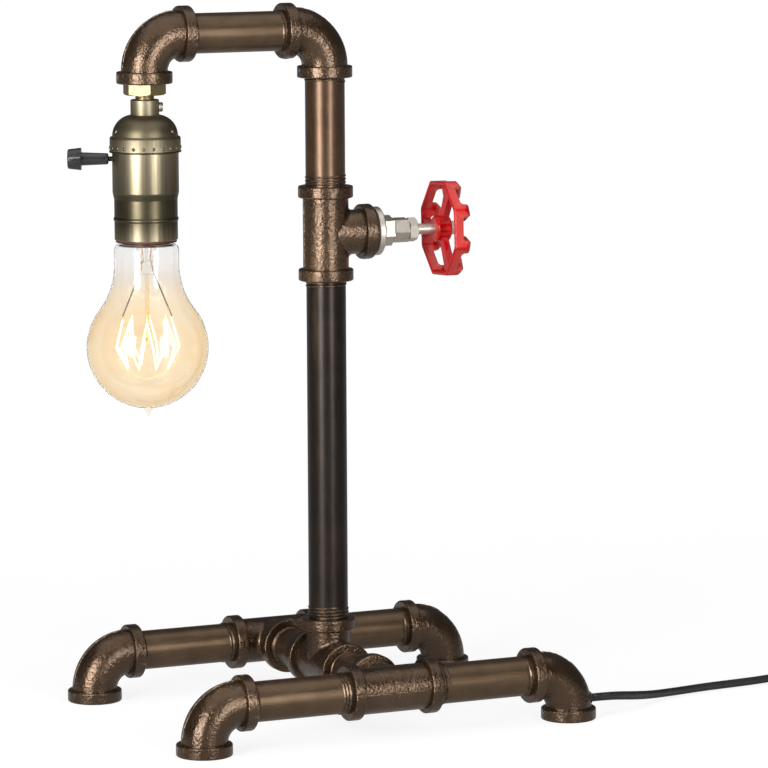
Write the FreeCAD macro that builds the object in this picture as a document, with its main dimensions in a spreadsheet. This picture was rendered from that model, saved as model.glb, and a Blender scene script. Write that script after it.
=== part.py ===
"""Industrial pipe table lamp.

Four foot elbows, two rails and a cross pipe carry a column of screwed half-inch pipe. The column has a
stop valve with a red handwheel on its tee, and an arm at the top that carries a brass lampholder with a turn
switch and a Victorian bulb. A flat twin cord leaves the front right foot and lies coiled beside the lamp.

Frame: +Z up, X along the rails (arm to -X, handwheel to +X), Y to the rear, floor at z = 0, origin under the
middle of the lamp's outline. Millimetres and degrees.
"""
import FreeCAD, Part
import Sketcher
import math
import os

V = FreeCAD.Vector
UP, ALONG_X, ALONG_Y = V(0, 0, 1), V(1, 0, 0), V(0, 1, 0)

# The driving sizes: name, value, what it is.
SIZES = [
    # pipe and fittings
    ("pipe_od", 21.3, "outside diameter of half-inch pipe"),
    ("pipe_bore", 15.8, "bore of half-inch pipe"),
    ("pipe_chamfer", 1.0, "chamfer at each end of a pipe"),
    ("fit_reach", 25.5, "centre of a fitting to each of its faces"),
    ("fit_body_od", 24.6, "outside diameter of a fitting between its bands"),
    ("fit_bore", 17.0, "waterway of a fitting"),
    ("branch_od", 24.0, "outside diameter of a tee's branch"),
    ("branch_blend", 2.6, "blend where the branch grows out of the run"),
    ("band_od", 29.6, "outside diameter of the band at each mouth"),
    ("band_len", 6.4, "length of the band"),
    ("band_round", 0.9, "rounding of the band's edges"),
    ("thread_grip", 10.5, "how far a pipe is screwed into a fitting"),
    ("thread_relief", 0.5, "room left beyond the pipe's end"),
    ("thread_gap", 0.05, "radial clearance of a screwed joint"),
    # layout
    ("foot_half_x", 105.8, "column axis to foot axis along a rail"),
    ("rail_half_y", 78.8, "column axis to rail axis"),
    ("column_tee_z", 260.0, "floor to the valve's axis"),
    ("arm_z", 368.9, "floor to the arm's axis"),
    ("arm_reach", 103.4, "column axis to the lampholder's axis"),
    # valve
    ("valve_swing", 4.0, "how far the valve's branch is screwed round towards the front"),
    ("flange_gap", 1.0, "thread seen between the column tee and the valve's flange"),
    ("flange_od", 26.3, "valve flange"),
    ("flange_len", 3.8, "valve flange, thickness"),
    ("bonnet_flats", 14.5, "bonnet's first hexagon across flats"),
    ("bonnet_len", 6.8, "bonnet's first hexagon, length"),
    ("collar_flats", 12.3, "bonnet's second hexagon across flats"),
    ("collar_len", 9.0, "bonnet's second hexagon, length"),
    ("groove_len", 0.8, "groove between the two hexagons"),
    ("groove_od", 11.0, "groove between the two hexagons, diameter"),
    ("stub_od", 9.6, "threaded stub under the packing nut"),
    ("stub_len", 3.5, "threaded stub, length"),
    ("nut_flats", 11.7, "packing nut across flats"),
    ("nut_len", 5.3, "packing nut, length"),
    ("nut_gap", 0.6, "gap between the collar and the packing nut"),
    ("stem_od", 5.9, "valve stem"),
    ("stem_show", 11.0, "stem between packing nut and wheel"),
    ("stem_gap", 0.10, "radial running clearance of the stem"),
    ("screw_od", 9.0, "stem's screw"),
    ("screw_len", 12.0, "stem's screw, length"),
    ("chamber_len", 18.0, "screw chamber inside the bonnet"),
    ("gland_od", 7.8, "outside diameter of the gland packing"),
    ("disc_od", 12.0, "valve disc"),
    ("disc_len", 3.5, "valve disc, thickness"),
    ("disc_pin_od", 3.8, "stem's pin in the disc"),
    # handwheel
    ("wheel_od", 55.0, "handwheel over the corners of its rim"),
    ("wheel_lobes", 8, "corners of the rim, each with a lobe"),
    ("wheel_turn", 19.0, "how far the handwheel's first lobe is turned to the front from the top"),
    ("rim_thick", 2.2, "rim along the radius"),
    ("rim_len", 5.0, "rim along the axis"),
    ("rim_set", 2.1, "back of the hub to the back of the rim"),
    ("rim_round", 0.6, "rounding of the rim's back edges"),
    ("corner_round", 2.4, "rounding of the rim's corners"),
    ("lobe_reach", 10.2, "back of the rim to the front of a lobe"),
    ("lobe_tall", 8.6, "lobe along the radius"),
    ("lobe_wide", 7.2, "lobe along the rim"),
    ("lobe_wall", 2.4, "thickness of a lobe's front"),
    ("lobe_round", 3.0, "rounding of a lobe's front corners"),
    ("lobe_root", 1.8, "rounding where a lobe leaves the rim"),
    ("hub_od", 14.0, "handwheel's hub"),
    ("hub_len", 8.2, "handwheel's hub, length"),
    ("hub_round", 1.2, "rounding of the hub's edges"),
    ("spokes", 3, "spokes of the handwheel"),
    ("spoke_wide", 4.6, "spoke at the hub, width"),
    ("spoke_end_wide", 7.2, "spoke at the rim, width"),
    ("spoke_thick", 3.4, "spoke, thickness"),
    ("tail_od", 4.4, "stem's tail through the hub"),
    ("wheel_nut_flats", 7.0, "nut in front of the hub, across flats"),
    ("wheel_nut_len", 3.0, "nut in front of the hub, thickness"),
    # lampholder
    ("holder_turn", 24.7, "how far the lampholder is screwed round from the arm's line"),
    ("hex_flats", 20.1, "brass hexagon bushing across flats"),
    ("hex_len", 5.9, "brass hexagon, thickness"),
    ("hex_turn", 6.7, "how far the bushing is screwed round"),
    ("neck_od", 9.6, "threaded neck tube"),
    ("neck_bore", 7.0, "bore of the neck tube"),
    ("neck_show", 2.3, "neck tube seen between bushing and hub"),
    ("neck_grip", 6.0, "neck tube inside the hub"),
    ("hub_dia", 15.1, "lampholder's hub"),
    ("hub_tall", 8.1, "lampholder's hub, height"),
    ("dome_tall", 11.1, "cap's dome, height"),
    ("dome_curve", 11.1, "radius of the cap's dome"),
    ("cap_od", 37.4, "cap's ring"),
    ("cap_tall", 8.5, "cap's ring, height"),
    ("cap_round", 1.4, "rounding at the top of the cap's ring"),
    ("cap_wall", 0.6, "sheet of the cap"),
    ("upper_od", 35.0, "shell's upper part"),
    ("upper_tall", 21.0, "shell's upper part below the cap's ring"),
    ("shell_tuck", 5.5, "shell inside the cap's ring"),
    ("step_tall", 3.7, "taper between the shell's upper and lower part"),
    ("lower_od", 33.4, "shell's lower part"),
    ("lower_tall", 9.3, "shell's lower part above the bead"),
    ("bead_od", 34.3, "shell's bead"),
    ("bead_tall", 2.3, "shell's bead, height"),
    ("skirt_tall", 10.0, "shell below the bead"),
    ("shell_wall", 0.5, "sheet of the shell"),
    ("liner_show", 1.0, "liner seen below the shell"),
    ("liner_wall", 0.8, "liner, thickness"),
    ("liner_gap", 0.1, "clearance round the liner"),
    ("base_level", 32.0, "shell's mouth to the switch base"),
    ("base_tall", 19.0, "switch base, height"),
    ("base_gap", 0.3, "clearance round the switch base"),
    ("screw_shell_rise", 5.0, "shell's mouth to the screw shell's mouth"),
    ("screw_shell_wall", 0.4, "sheet of the screw shell"),
    ("contact_level", 30.0, "shell's mouth to the centre contact"),
    ("contact_sheet", 0.5, "sheet of the centre contact"),
    ("contact_wide", 5.0, "width of the centre contact"),
    ("terminal_seat", 8.0, "lampholder axis to a terminal screw"),
    ("terminal_od", 6.0, "terminal screw's head"),
    ("knob_level", 42.8, "shell's mouth to the knob's axis"),
    ("shaft_od", 2.6, "knob shaft"),
    ("shaft_gap", 0.12, "radial running clearance of the knob shaft"),
    ("shaft_show", 1.9, "shaft seen between shell and knob"),
    ("shaft_grip", 8.0, "shaft inside the knob"),
    ("cam_od", 9.2, "switch cam"),
    ("cam_len", 7.0, "switch cam, length"),
    ("cam_gap", 0.5, "room round the cam"),
    ("barrel_od", 7.0, "knob's barrel at the head"),
    ("barrel_end_od", 6.0, "knob's barrel at the shell"),
    ("barrel_len", 14.3, "knob's barrel, length"),
    ("knob_od", 11.9, "knob's head at the barrel"),
    ("knob_end_od", 10.4, "knob's head at its free end"),
    ("knob_len", 7.1, "knob's head, length"),
    ("knob_flutes", 12, "flutes round the knob's head"),
    ("flute_od", 2.0, "cutter of a flute"),
    ("set_screw_od", 3.0, "hub's set screw"),
    ("set_screw_head", 5.0, "set screw's head"),
    ("set_screw_show", 2.0, "set screw's head, height"),
    # bulb
    ("globe_od", 64.4, "bulb's globe"),
    ("glass_neck_od", 34.3, "bulb's glass neck"),
    ("flare_curve", 40.0, "curve between globe and neck"),
    ("glass_wall", 0.8, "bulb's glass"),
    ("tip_tall", 4.4, "glass tip below the globe"),
    ("tip_od", 5.2, "glass tip at the globe"),
    ("globe_level", 36.6, "tip to the globe's centre"),
    ("glass_tall", 91.6, "tip to the cap"),
    ("shoulder_round", 3.0, "shoulder under the cap"),
    ("cap_dia", 26.05, "bulb's screw cap"),
    ("bulb_cap_tall", 22.0, "bulb's screw cap, height"),
    ("bulb_cap_wall", 0.4, "sheet of the bulb's cap"),
    ("cap_gap", 0.3, "radial clearance of the bulb's cap in the screw shell"),
    ("glass_grip", 8.0, "glass neck inside the cap"),
    ("insulator_tall", 8.5, "black glass above the cap"),
    ("insulator_end_od", 11.0, "black glass at the contact"),
    ("contact_dia", 9.0, "bulb's centre contact"),
    ("contact_tall", 1.5, "bulb's centre contact, height"),
    ("mount_od", 10.8, "glass mount inside the bulb"),
    ("mount_tall", 16.0, "glass mount below the cap"),
    ("rod_od", 2.2, "glass rod under the mount"),
    ("rod_tall", 36.8, "glass rod under the mount, length"),
    ("wire_od", 0.7, "support wires"),
    ("filament_od", 0.7, "filament"),
    ("filament_hooks", 8, "upper points, and as many lower ones"),
    ("filament_opening", 9.0, "turn between the filament's two ends"),
    ("filament_top", 51.0, "tip to the filament's upper points"),
    ("filament_waist", 37.0, "tip to the filament's widest points"),
    ("filament_foot", 26.5, "tip to the filament's lower points"),
    ("filament_top_seat", 13.0, "bulb axis to the upper points"),
    ("filament_waist_seat", 17.0, "bulb axis to the widest points"),
    ("filament_foot_seat", 12.0, "bulb axis to the lower points"),
    # cord
    ("cord_wide", 5.6, "width of the flat cord"),
    ("cord_level", 10.05, "floor to the cord's hole"),
    ("cord_hole", 6.4, "hole in the foot elbow"),
    ("grommet_od", 7.2, "grommet's flange"),
    ("grommet_lip", 0.5, "grommet's flange, thickness"),
    ("coil_seat_x", 173.6, "grommet's face to the coil's axis along X"),
    ("coil_seat_y", 7.7, "cord's hole to the coil's axis, forward"),
    ("coil_mean_od", 64.0, "coil at the middle of its turns"),
    ("coil_columns", 4, "turns side by side"),
    ("coil_layers", 2, "turns one on another"),
    ("plug_len", 22.0, "plug body"),
    ("plug_wide", 20.0, "plug body, width"),
    ("plug_tall", 11.0, "plug body, height"),
    ("plug_neck_len", 20.0, "plug's neck"),
    ("plug_neck_od", 7.2, "plug's neck at the cord"),
    ("blade_len", 16.5, "plug blade, length"),
    ("blade_tall", 6.35, "plug blade, height"),
    ("blade_thick", 1.5, "plug blade, thickness"),
    ("blade_pitch", 12.7, "distance between the blades"),
]

# The cord's routes as chosen points: X from the grommet's face, Y from the hole's axis, Z from the floor.
LEAD_ROUTE = [
    (0.0, 0.0, 10.05), (13.6, 0.0, 10.05), (28.6, 5.3, 7.7), (45.6, 16.3, 4.5), (64.6, 25.0, 2.95),
    (86.6, 29.5, 2.85), (108.6, 31.4, 2.85), (128.6, 32.8, 3.15), (145.6, 32.4, 4.9), (160.6, 33.1, 8.1),
    (173.6, 32.7, 8.4),
]
TAIL_ROUTE = [(173.6, 32.7, 2.8), (184.6, 32.8, 3.0), (194.6, 33.3, 5.5), (203.6, 33.3, 5.5)]


class Dim:
    """A size worked out from the sheet: its number now, and the expression that keeps it right."""

    def __init__(self, value, text):
        self.value, self.text = value, text

    def __add__(self, other):
        return combine(self, "+", other, lambda a, b: a + b)

    def __sub__(self, other):
        return combine(self, "-", other, lambda a, b: a - b)

    def __mul__(self, other):
        return combine(self, "*", other, lambda a, b: a * b)

    def __truediv__(self, other):
        return combine(self, "/", other, lambda a, b: a / b)

    def __neg__(self):
        return Dim(-self.value, f"-({self.text})")


def as_dim(thing):
    return thing if isinstance(thing, Dim) else Dim(float(thing), repr(float(thing)))


def combine(left, sign, right, work):
    left, right = as_dim(left), as_dim(right)
    return Dim(work(left.value, right.value), f"({left.text} {sign} {right.text})")


def root(dim):
    return Dim(math.sqrt(dim.value), f"sqrt({dim.text})")


def cosine(dim):
    return Dim(math.cos(math.radians(dim.value)), f"cos({dim.text} * 1 deg)")


def sine(dim):
    return Dim(math.sin(math.radians(dim.value)), f"sin({dim.text} * 1 deg)")


class Sheet:
    """The spreadsheet of driving sizes; each size is read as an attribute."""

    def __init__(self, doc):
        cells = doc.addObject("Spreadsheet::Sheet", "sizes")
        for row, (name, value, note) in enumerate(SIZES, 1):
            cells.set(f"A{row}", note)
            cells.set(f"B{row}", str(value))
            cells.setAlias(f"B{row}", name)
        doc.recompute()
        for name, _, _ in SIZES:
            setattr(self, name, Dim(float(cells.get(name)), f"sizes.{name}"))


doc = FreeCAD.newDocument("pipe_lamp")
mm = Sheet(doc)
nodes = []


# ---------------------------------------------------------------- helpers

def place(thing, at, axis=UP, angle=0.0):
    """Puts a sub-part at a point, turned about an axis, and binds what depends on the sheet."""
    turn = as_dim(angle)
    at = [as_dim(c) for c in at]
    thing.Placement = FreeCAD.Placement(V(*(c.value for c in at)), FreeCAD.Rotation(axis, turn.value))
    for letter, coordinate in zip("xyz", at):
        thing.setExpression(f"Placement.Base.{letter}", coordinate.text)
    if isinstance(angle, Dim):
        thing.setExpression("Placement.Rotation.Angle", f"{turn.text} * 1 deg")


def new_body(label, at, axis=UP, angle=0.0):
    body = doc.addObject("PartDesign::Body", label)
    body.Label = label
    place(body, at, axis, angle)
    nodes.append(body)
    return body


def new_sketch(body, role, lift=None, swing=None):
    """A sketch on one of the body's own origin planes, lifted along its normal or swung about its own X."""
    sketch = body.newObject("Sketcher::SketchObject", f"{body.Label}_sketch")
    plane = next(f for f in body.Origin.OriginFeatures if f.Role == role)
    sketch.AttachmentSupport = [(plane, "")]
    sketch.MapMode = "FlatFace"
    if lift is not None:
        sketch.AttachmentOffset = FreeCAD.Placement(V(0, 0, as_dim(lift).value), FreeCAD.Rotation())
        sketch.setExpression("AttachmentOffset.Base.z", as_dim(lift).text)
    if swing is not None:
        sketch.AttachmentOffset = FreeCAD.Placement(V(), FreeCAD.Rotation(ALONG_X, swing.value))
        sketch.setExpression("AttachmentOffset.Rotation.Angle", f"{swing.text} * 1 deg")
    return sketch


def fix_point(sketch, index, end, x, y):
    """Holds an end of a line or arc, or a circle's centre, at a point of the sketch."""
    for kind, axis, coordinate in (("DistanceX", -2, as_dim(x)), ("DistanceY", -1, as_dim(y))):
        if abs(coordinate.value) < 1e-9:
            sketch.addConstraint(Sketcher.Constraint("PointOnObject", index, end, axis))
        else:
            held = sketch.addConstraint(Sketcher.Constraint(kind, -1, 1, index, end, coordinate.value))
            sketch.setExpression(f"Constraints[{held}]", coordinate.text)


def fix_radius(sketch, index, radius):
    held = sketch.addConstraint(Sketcher.Constraint("Radius", index, radius.value))
    sketch.setExpression(f"Constraints[{held}]", radius.text)


def arc_between(start, end, radius, turn):
    """The shorter arc from start to end: turn is 1 where it runs anticlockwise, -1 clockwise."""
    chord = end - start
    rise = math.sqrt(max(radius ** 2 - (chord.Length / 2) ** 2, 0.0))
    side = V(-chord.y, chord.x, 0).normalize() * rise * turn
    centre = (start + end) * 0.5 + side
    first, last = (start, end) if turn > 0 else (end, start)
    angles = [math.atan2(p.y - centre.y, p.x - centre.x) for p in (first, last)]
    return Part.ArcOfCircle(Part.Circle(centre, V(0, 0, 1), radius), *angles)


def outline(sketch, corners):
    """A closed outline. A corner is (x, y), or (x, y, radius, turn) where an arc leads to it."""
    ends = []
    for start, end in zip(corners, corners[1:] + corners[:1]):
        p, q = (V(as_dim(c[0]).value, as_dim(c[1]).value, 0) for c in (start, end))
        if len(end) == 2:
            sketch.addGeometry(Part.LineSegment(p, q))
        else:
            sketch.addGeometry(arc_between(p, q, as_dim(end[2]).value, end[3]))
        ends.append((2, 1) if len(end) == 4 and end[3] < 0 else (1, 2))
    first = sketch.GeometryCount - len(corners)
    for i, (_, last_end) in enumerate(ends):
        after = (i + 1) % len(ends)
        joined = (first + i, last_end, first + after, ends[after][0])
        sketch.addConstraint(Sketcher.Constraint("Coincident", *joined))
    for i, corner in enumerate(corners):
        fix_point(sketch, first + i, ends[i][0], corner[0], corner[1])
        end = corners[(i + 1) % len(corners)]
        if len(end) == 4:
            fix_radius(sketch, first + i, as_dim(end[2]))
    return sketch


def circle(sketch, radius, x=0.0, y=0.0):
    index = sketch.addGeometry(Part.Circle(V(as_dim(x).value, as_dim(y).value, 0), V(0, 0, 1), radius.value))
    fix_point(sketch, index, 3, x, y)
    fix_radius(sketch, index, radius)
    return sketch


def hexagon(sketch, flats, first=0.0):
    """A regular hexagon by its width across flats, with a corner at the angle first."""
    reach = flats / math.sqrt(3)
    angles = [math.radians(first + 60 * i) for i in range(6)]
    return outline(sketch, [(reach * math.cos(a), reach * math.sin(a)) for a in angles])


def revolve(body, sketch, axis="V_Axis", angle=360.0, cut=False):
    feature = body.newObject("PartDesign::Groove" if cut else "PartDesign::Revolution", f"{body.Label}_turn")
    feature.Profile = sketch
    feature.ReferenceAxis = (sketch, [axis])
    feature.Angle = angle
    return feature


def pad(body, sketch, length, back=False, middle=False):
    feature = body.newObject("PartDesign::Pad", f"{body.Label}_pad")
    feature.Profile = sketch
    feature.Length = length.value
    feature.setExpression("Length", length.text)
    feature.Reversed = back
    feature.Midplane = middle
    return feature


def pocket(body, sketch, depth, back=False, middle=False):
    """Cuts against the sketch's normal, or along it with back."""
    feature = body.newObject("PartDesign::Pocket", f"{body.Label}_pocket")
    feature.Profile = sketch
    feature.Length = depth.value
    feature.setExpression("Length", depth.text)
    feature.Reversed = back
    feature.Midplane = middle
    return feature


def pattern(body, feature, role, copies):
    """Repeats a feature round one of the body's own axes."""
    ring = body.newObject("PartDesign::PolarPattern", f"{body.Label}_pattern")
    ring.Originals = [feature]
    ring.Axis = (next(f for f in body.Origin.OriginFeatures if f.Role == role), [""])
    ring.Angle = 360.0
    ring.Occurrences = int(round(copies.value))
    ring.setExpression("Occurrences", copies.text)
    body.Tip = ring
    return ring


def round_edges(body, radius, wanted):
    """Fillets the edges of the body's tip that wanted picks."""
    doc.recompute()
    tip = body.Tip
    names = [f"Edge{i}" for i, edge in enumerate(tip.Shape.Edges, 1) if wanted(edge)]
    fillet = body.newObject("PartDesign::Fillet", f"{body.Label}_fillet")
    fillet.Base = (tip, names)
    fillet.Radius = radius.value
    fillet.setExpression("Radius", radius.text)
    return fillet


def is_circle(edge, radius):
    return isinstance(edge.Curve, Part.Circle) and abs(edge.Curve.Radius - radius) < 1e-6


def turned(label, corners, at, axis=UP, angle=0.0):
    """A piece turned about its own vertical axis, from half its section."""
    body = new_body(label, at, axis, angle)
    revolve(body, outline(new_sketch(body, "XZ_Plane"), corners))
    return body


def turned_along(label, corners, at, axis=UP, angle=0.0):
    """A piece turned about its own X axis, from half its section."""
    body = new_body(label, at, axis, angle)
    revolve(body, outline(new_sketch(body, "XZ_Plane"), corners), "H_Axis")
    return body


def shaped(label, shape, at, axis=UP, angle=0.0):
    """A sub-part whose shape is made with Part's own functions."""
    piece = doc.addObject("Part::Feature", label)
    piece.Label = label
    piece.Shape = shape
    place(piece, at, axis, angle)
    nodes.append(piece)
    return piece


# ---------------------------------------------------------------- shared places

socket_rad = mm.pipe_od / 2 + mm.thread_gap
socket_deep = mm.thread_grip + mm.thread_relief
bend = mm.fit_reach - mm.band_len
rail_z = mm.fit_reach

knob_start = mm.upper_od / 2 + mm.shaft_show
knob_reach = knob_start + mm.barrel_len + mm.knob_len
lamp_left = mm.arm_reach + knob_reach * cosine(mm.holder_turn) + mm.knob_end_od / 2 * sine(mm.holder_turn)
column_x = (lamp_left - mm.foot_half_x - mm.band_od / 2) / 2


# ---------------------------------------------------------------- fittings and pipes

def elbow(label, x, z, y=0.0, turned_round=False):
    """A banded 90 degree elbow with one leg down and one level, its own origin at the bend's centre."""
    shift = -bend if turned_round else bend
    body = new_body(label, (x + shift, y, z - bend), UP, 180.0 if turned_round else 0.0)
    revolve(body, circle(new_sketch(body, "XY_Plane"), mm.fit_body_od / 2, -bend), angle=90.0)
    pad(body, circle(new_sketch(body, "XY_Plane"), mm.band_od / 2, -bend), mm.band_len, back=True)
    pad(body, circle(new_sketch(body, "YZ_Plane"), mm.band_od / 2, 0.0, bend), mm.band_len)
    round_edges(body, mm.band_round, lambda edge: is_circle(edge, mm.band_od.value / 2))
    revolve(body, circle(new_sketch(body, "XY_Plane"), mm.fit_bore / 2, -bend), angle=90.0, cut=True)
    socket = circle(new_sketch(body, "XY_Plane", -mm.band_len), socket_rad, -bend)
    pocket(body, socket, socket_deep, back=True)
    pocket(body, circle(new_sketch(body, "YZ_Plane", mm.band_len), socket_rad, 0.0, bend), socket_deep)
    return body


def band_corners(face, inward, radius):
    """The corners of a band from its outer face to its inner one; inward is 1 or -1 along the axis."""
    turn = -inward
    soft = mm.band_round
    return [
        (face, radius - soft),
        (face + soft * inward, radius, soft, turn),
        (face + (mm.band_len - soft) * inward, radius),
        (face + mm.band_len * inward, radius - soft, soft, turn),
    ]


def tee(label, at, axis=UP, angle=0.0):
    """A banded tee: its run lies along its own X axis and its branch points up its own Z axis."""
    body = new_body(label, at, axis, angle)
    reach, band = mm.fit_reach, mm.band_od / 2
    left = band_corners(-reach, 1, band)
    right = [(x, y) for x, y, *_ in band_corners(reach, -1, band)][::-1]
    soft = mm.band_round
    right[1] += (soft, -1)
    right[3] += (soft, -1)
    run = [(-reach, 0.0)] + left + [(-reach + mm.band_len, mm.fit_body_od / 2),
                                    (reach - mm.band_len, mm.fit_body_od / 2)] + right + [(reach, 0.0)]
    revolve(body, outline(new_sketch(body, "XZ_Plane"), run), "H_Axis")
    branch = [
        (0.0, 0.0), (mm.branch_od / 2, 0.0), (mm.branch_od / 2, reach - mm.band_len),
        (band - soft, reach - mm.band_len), (band, reach - mm.band_len + soft, soft, 1),
        (band, reach - soft), (band - soft, reach, soft, 1), (0.0, reach),
    ]
    revolve(body, outline(new_sketch(body, "XZ_Plane"), branch))
    round_edges(body, mm.branch_blend, is_branch_seam)
    bore = mm.fit_bore / 2
    run_bore = [
        (-reach, 0.0), (-reach, socket_rad), (-reach + socket_deep, socket_rad), (-reach + socket_deep, bore),
        (reach - socket_deep, bore), (reach - socket_deep, socket_rad), (reach, socket_rad), (reach, 0.0),
    ]
    revolve(body, outline(new_sketch(body, "XZ_Plane"), run_bore), "H_Axis", cut=True)
    branch_bore = [
        (0.0, 0.0), (bore, 0.0), (bore, reach - socket_deep), (socket_rad, reach - socket_deep),
        (socket_rad, reach), (0.0, reach),
    ]
    revolve(body, outline(new_sketch(body, "XZ_Plane"), branch_bore), cut=True)
    return body


def is_branch_seam(edge):
    """The curve where a tee's branch leaves its run: no circle, and it leaves every plane."""
    least = min(edge.BoundBox.XLength, edge.BoundBox.YLength)
    return not isinstance(edge.Curve, (Part.Circle, Part.Line)) and least > mm.fit_bore.value / 2


def pipe(label, length, at, axis=UP, angle=0.0):
    """A length of pipe with chamfered ends, standing on its own origin."""
    rad, bore, soft = mm.pipe_od / 2, mm.pipe_bore / 2, mm.pipe_chamfer
    corners = [
        (bore, 0.0), (rad - soft, 0.0), (rad, soft), (rad, length - soft), (rad - soft, length),
        (bore, length),
    ]
    return turned(label, corners, at, axis, angle)


def base():
    foot, rail = mm.foot_half_x, mm.rail_half_y
    grip = mm.fit_reach - mm.thread_grip
    rail_len = foot - mm.fit_reach * 2 + mm.thread_grip * 2
    cross_len = rail - mm.fit_reach * 2 + mm.thread_grip * 2
    for side, y in (("front", -rail), ("rear", rail)):
        elbow(f"foot_elbow_{side}_left", column_x - foot, rail_z, y)
        last = elbow(f"foot_elbow_{side}_right", column_x + foot, rail_z, y, turned_round=True)
        if side == "front":
            sketch = new_sketch(last, "YZ_Plane", -bend)
            circle(sketch, mm.cord_hole / 2, 0.0, mm.cord_level - mm.band_len)
            pocket(last, sketch, mm.fit_body_od)
        pipe(f"rail_nipple_{side}_left", rail_len, (column_x - foot + grip, y, rail_z), ALONG_Y, 90.0)
        pipe(f"rail_nipple_{side}_right", rail_len, (column_x + grip, y, rail_z), ALONG_Y, 90.0)
    tee("rail_tee_front", (column_x, -rail, rail_z), ALONG_X, -90.0)
    tee("rail_tee_rear", (column_x, rail, rail_z), ALONG_X, 90.0)
    pipe("cross_nipple_front", cross_len, (column_x, -rail + grip, rail_z), ALONG_X, -90.0)
    pipe("cross_nipple_rear", cross_len, (column_x, grip, rail_z), ALONG_X, -90.0)
    tee("base_tee", (column_x, 0.0, rail_z), UP, 90.0)


def column_and_arm():
    grip = mm.fit_reach - mm.thread_grip
    column_len = mm.column_tee_z - rail_z - grip * 2
    upper_len = mm.arm_z - mm.column_tee_z - grip * 2
    pipe("column_pipe", column_len, (column_x, 0.0, rail_z + grip))
    column_tee = tee("column_tee", (column_x, 0.0, mm.column_tee_z), ALONG_Y, 90.0)
    swung = FreeCAD.Rotation(UP, -mm.valve_swing.value) * FreeCAD.Rotation(ALONG_Y, 90.0)
    column_tee.Placement = FreeCAD.Placement(column_tee.Placement.Base, swung)
    swung = f"rotationz(-{mm.valve_swing.text} * 1 deg) * rotationy(90 deg)"
    column_tee.setExpression("Placement.Rotation", swung)
    pipe("upper_nipple", upper_len, (column_x, 0.0, mm.column_tee_z + grip))
    elbow("column_elbow", column_x, mm.arm_z, turned_round=True)
    arm_start = column_x - mm.arm_reach + grip
    pipe("arm_nipple", mm.arm_reach - grip * 2, (arm_start, 0.0, mm.arm_z), ALONG_Y, 90.0)
    elbow("drop_elbow", column_x - mm.arm_reach, mm.arm_z)


# ---------------------------------------------------------------- valve

flange_start = mm.fit_reach + mm.flange_gap
flange_end = flange_start + mm.flange_len
bonnet_end = flange_end + mm.bonnet_len
collar_end = bonnet_end + mm.collar_len
nut_end = collar_end + mm.nut_len
hub_back = nut_end + mm.stem_show
VALVE = ((column_x, 0.0, mm.column_tee_z), -UP, mm.valve_swing)
stem_bore = mm.stem_od / 2 + mm.stem_gap
screw_start = mm.fit_reach - mm.thread_grip - mm.thread_relief - mm.screw_len / 4
# how the hexagons came to rest when they were screwed home: angle of a corner, from the front
BONNET_REST, COLLAR_REST, NUT_REST, BUSHING_REST = 18.0, 6.0, 38.0, 30.0


def valve_bonnet():
    start = mm.fit_reach - mm.thread_grip
    spigot, flange, soft = mm.pipe_od / 2, mm.flange_od / 2, mm.band_round
    body = turned_along("valve_bonnet", [
        (start, 0.0), (start, spigot - mm.pipe_chamfer), (start + mm.pipe_chamfer, spigot),
        (flange_start, spigot), (flange_start, flange - soft), (flange_start + soft, flange, soft, -1),
        (flange_end - soft, flange), (flange_end, flange - soft, soft, -1), (flange_end, 0.0),
    ], *VALVE)
    groove_end = bonnet_end + mm.groove_len
    pad(body, hexagon(new_sketch(body, "YZ_Plane", flange_end), mm.bonnet_flats, BONNET_REST), mm.bonnet_len)
    pad(body, circle(new_sketch(body, "YZ_Plane", bonnet_end), mm.groove_od / 2), mm.groove_len)
    collar = hexagon(new_sketch(body, "YZ_Plane", groove_end), mm.collar_flats, COLLAR_REST)
    pad(body, collar, collar_end - groove_end)
    pad(body, circle(new_sketch(body, "YZ_Plane", collar_end), mm.stub_od / 2), mm.stub_len)
    chamber = mm.screw_od / 2 + mm.stem_gap
    chamber_end = start + mm.chamber_len
    gland = mm.gland_od / 2 + mm.thread_gap
    hollow = [
        (start, 0.0), (start, chamber), (chamber_end, chamber), (chamber_end, stem_bore),
        (collar_end, stem_bore), (collar_end, gland), (collar_end + mm.stub_len, gland),
        (collar_end + mm.stub_len, 0.0),
    ]
    revolve(body, outline(new_sketch(body, "XZ_Plane"), hollow), "H_Axis", cut=True)


def gland_packing():
    end = collar_end + mm.stub_len
    turned_along("gland_packing", [
        (collar_end, stem_bore), (collar_end, mm.gland_od / 2), (end, mm.gland_od / 2), (end, stem_bore),
    ], *VALVE)


def packing_nut():
    body = new_body("packing_nut", *VALVE)
    start = collar_end + mm.nut_gap
    pad(body, hexagon(new_sketch(body, "YZ_Plane", start), mm.nut_flats, NUT_REST), mm.nut_len - mm.nut_gap)
    stub = mm.stub_od / 2 + mm.thread_gap
    seat = collar_end + mm.stub_len
    hollow = [
        (start, 0.0), (start, stub), (seat, stub), (seat, stem_bore), (nut_end, stem_bore), (nut_end, 0.0),
    ]
    revolve(body, outline(new_sketch(body, "XZ_Plane"), hollow), "H_Axis", cut=True)
    corner = mm.nut_flats / math.sqrt(3)
    shoulder = mm.nut_flats / 2
    slope = corner - shoulder
    cone = [(nut_end - slope, corner), (nut_end, shoulder), (nut_end, corner)]
    revolve(body, outline(new_sketch(body, "XZ_Plane"), cone), "H_Axis", cut=True)


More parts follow.
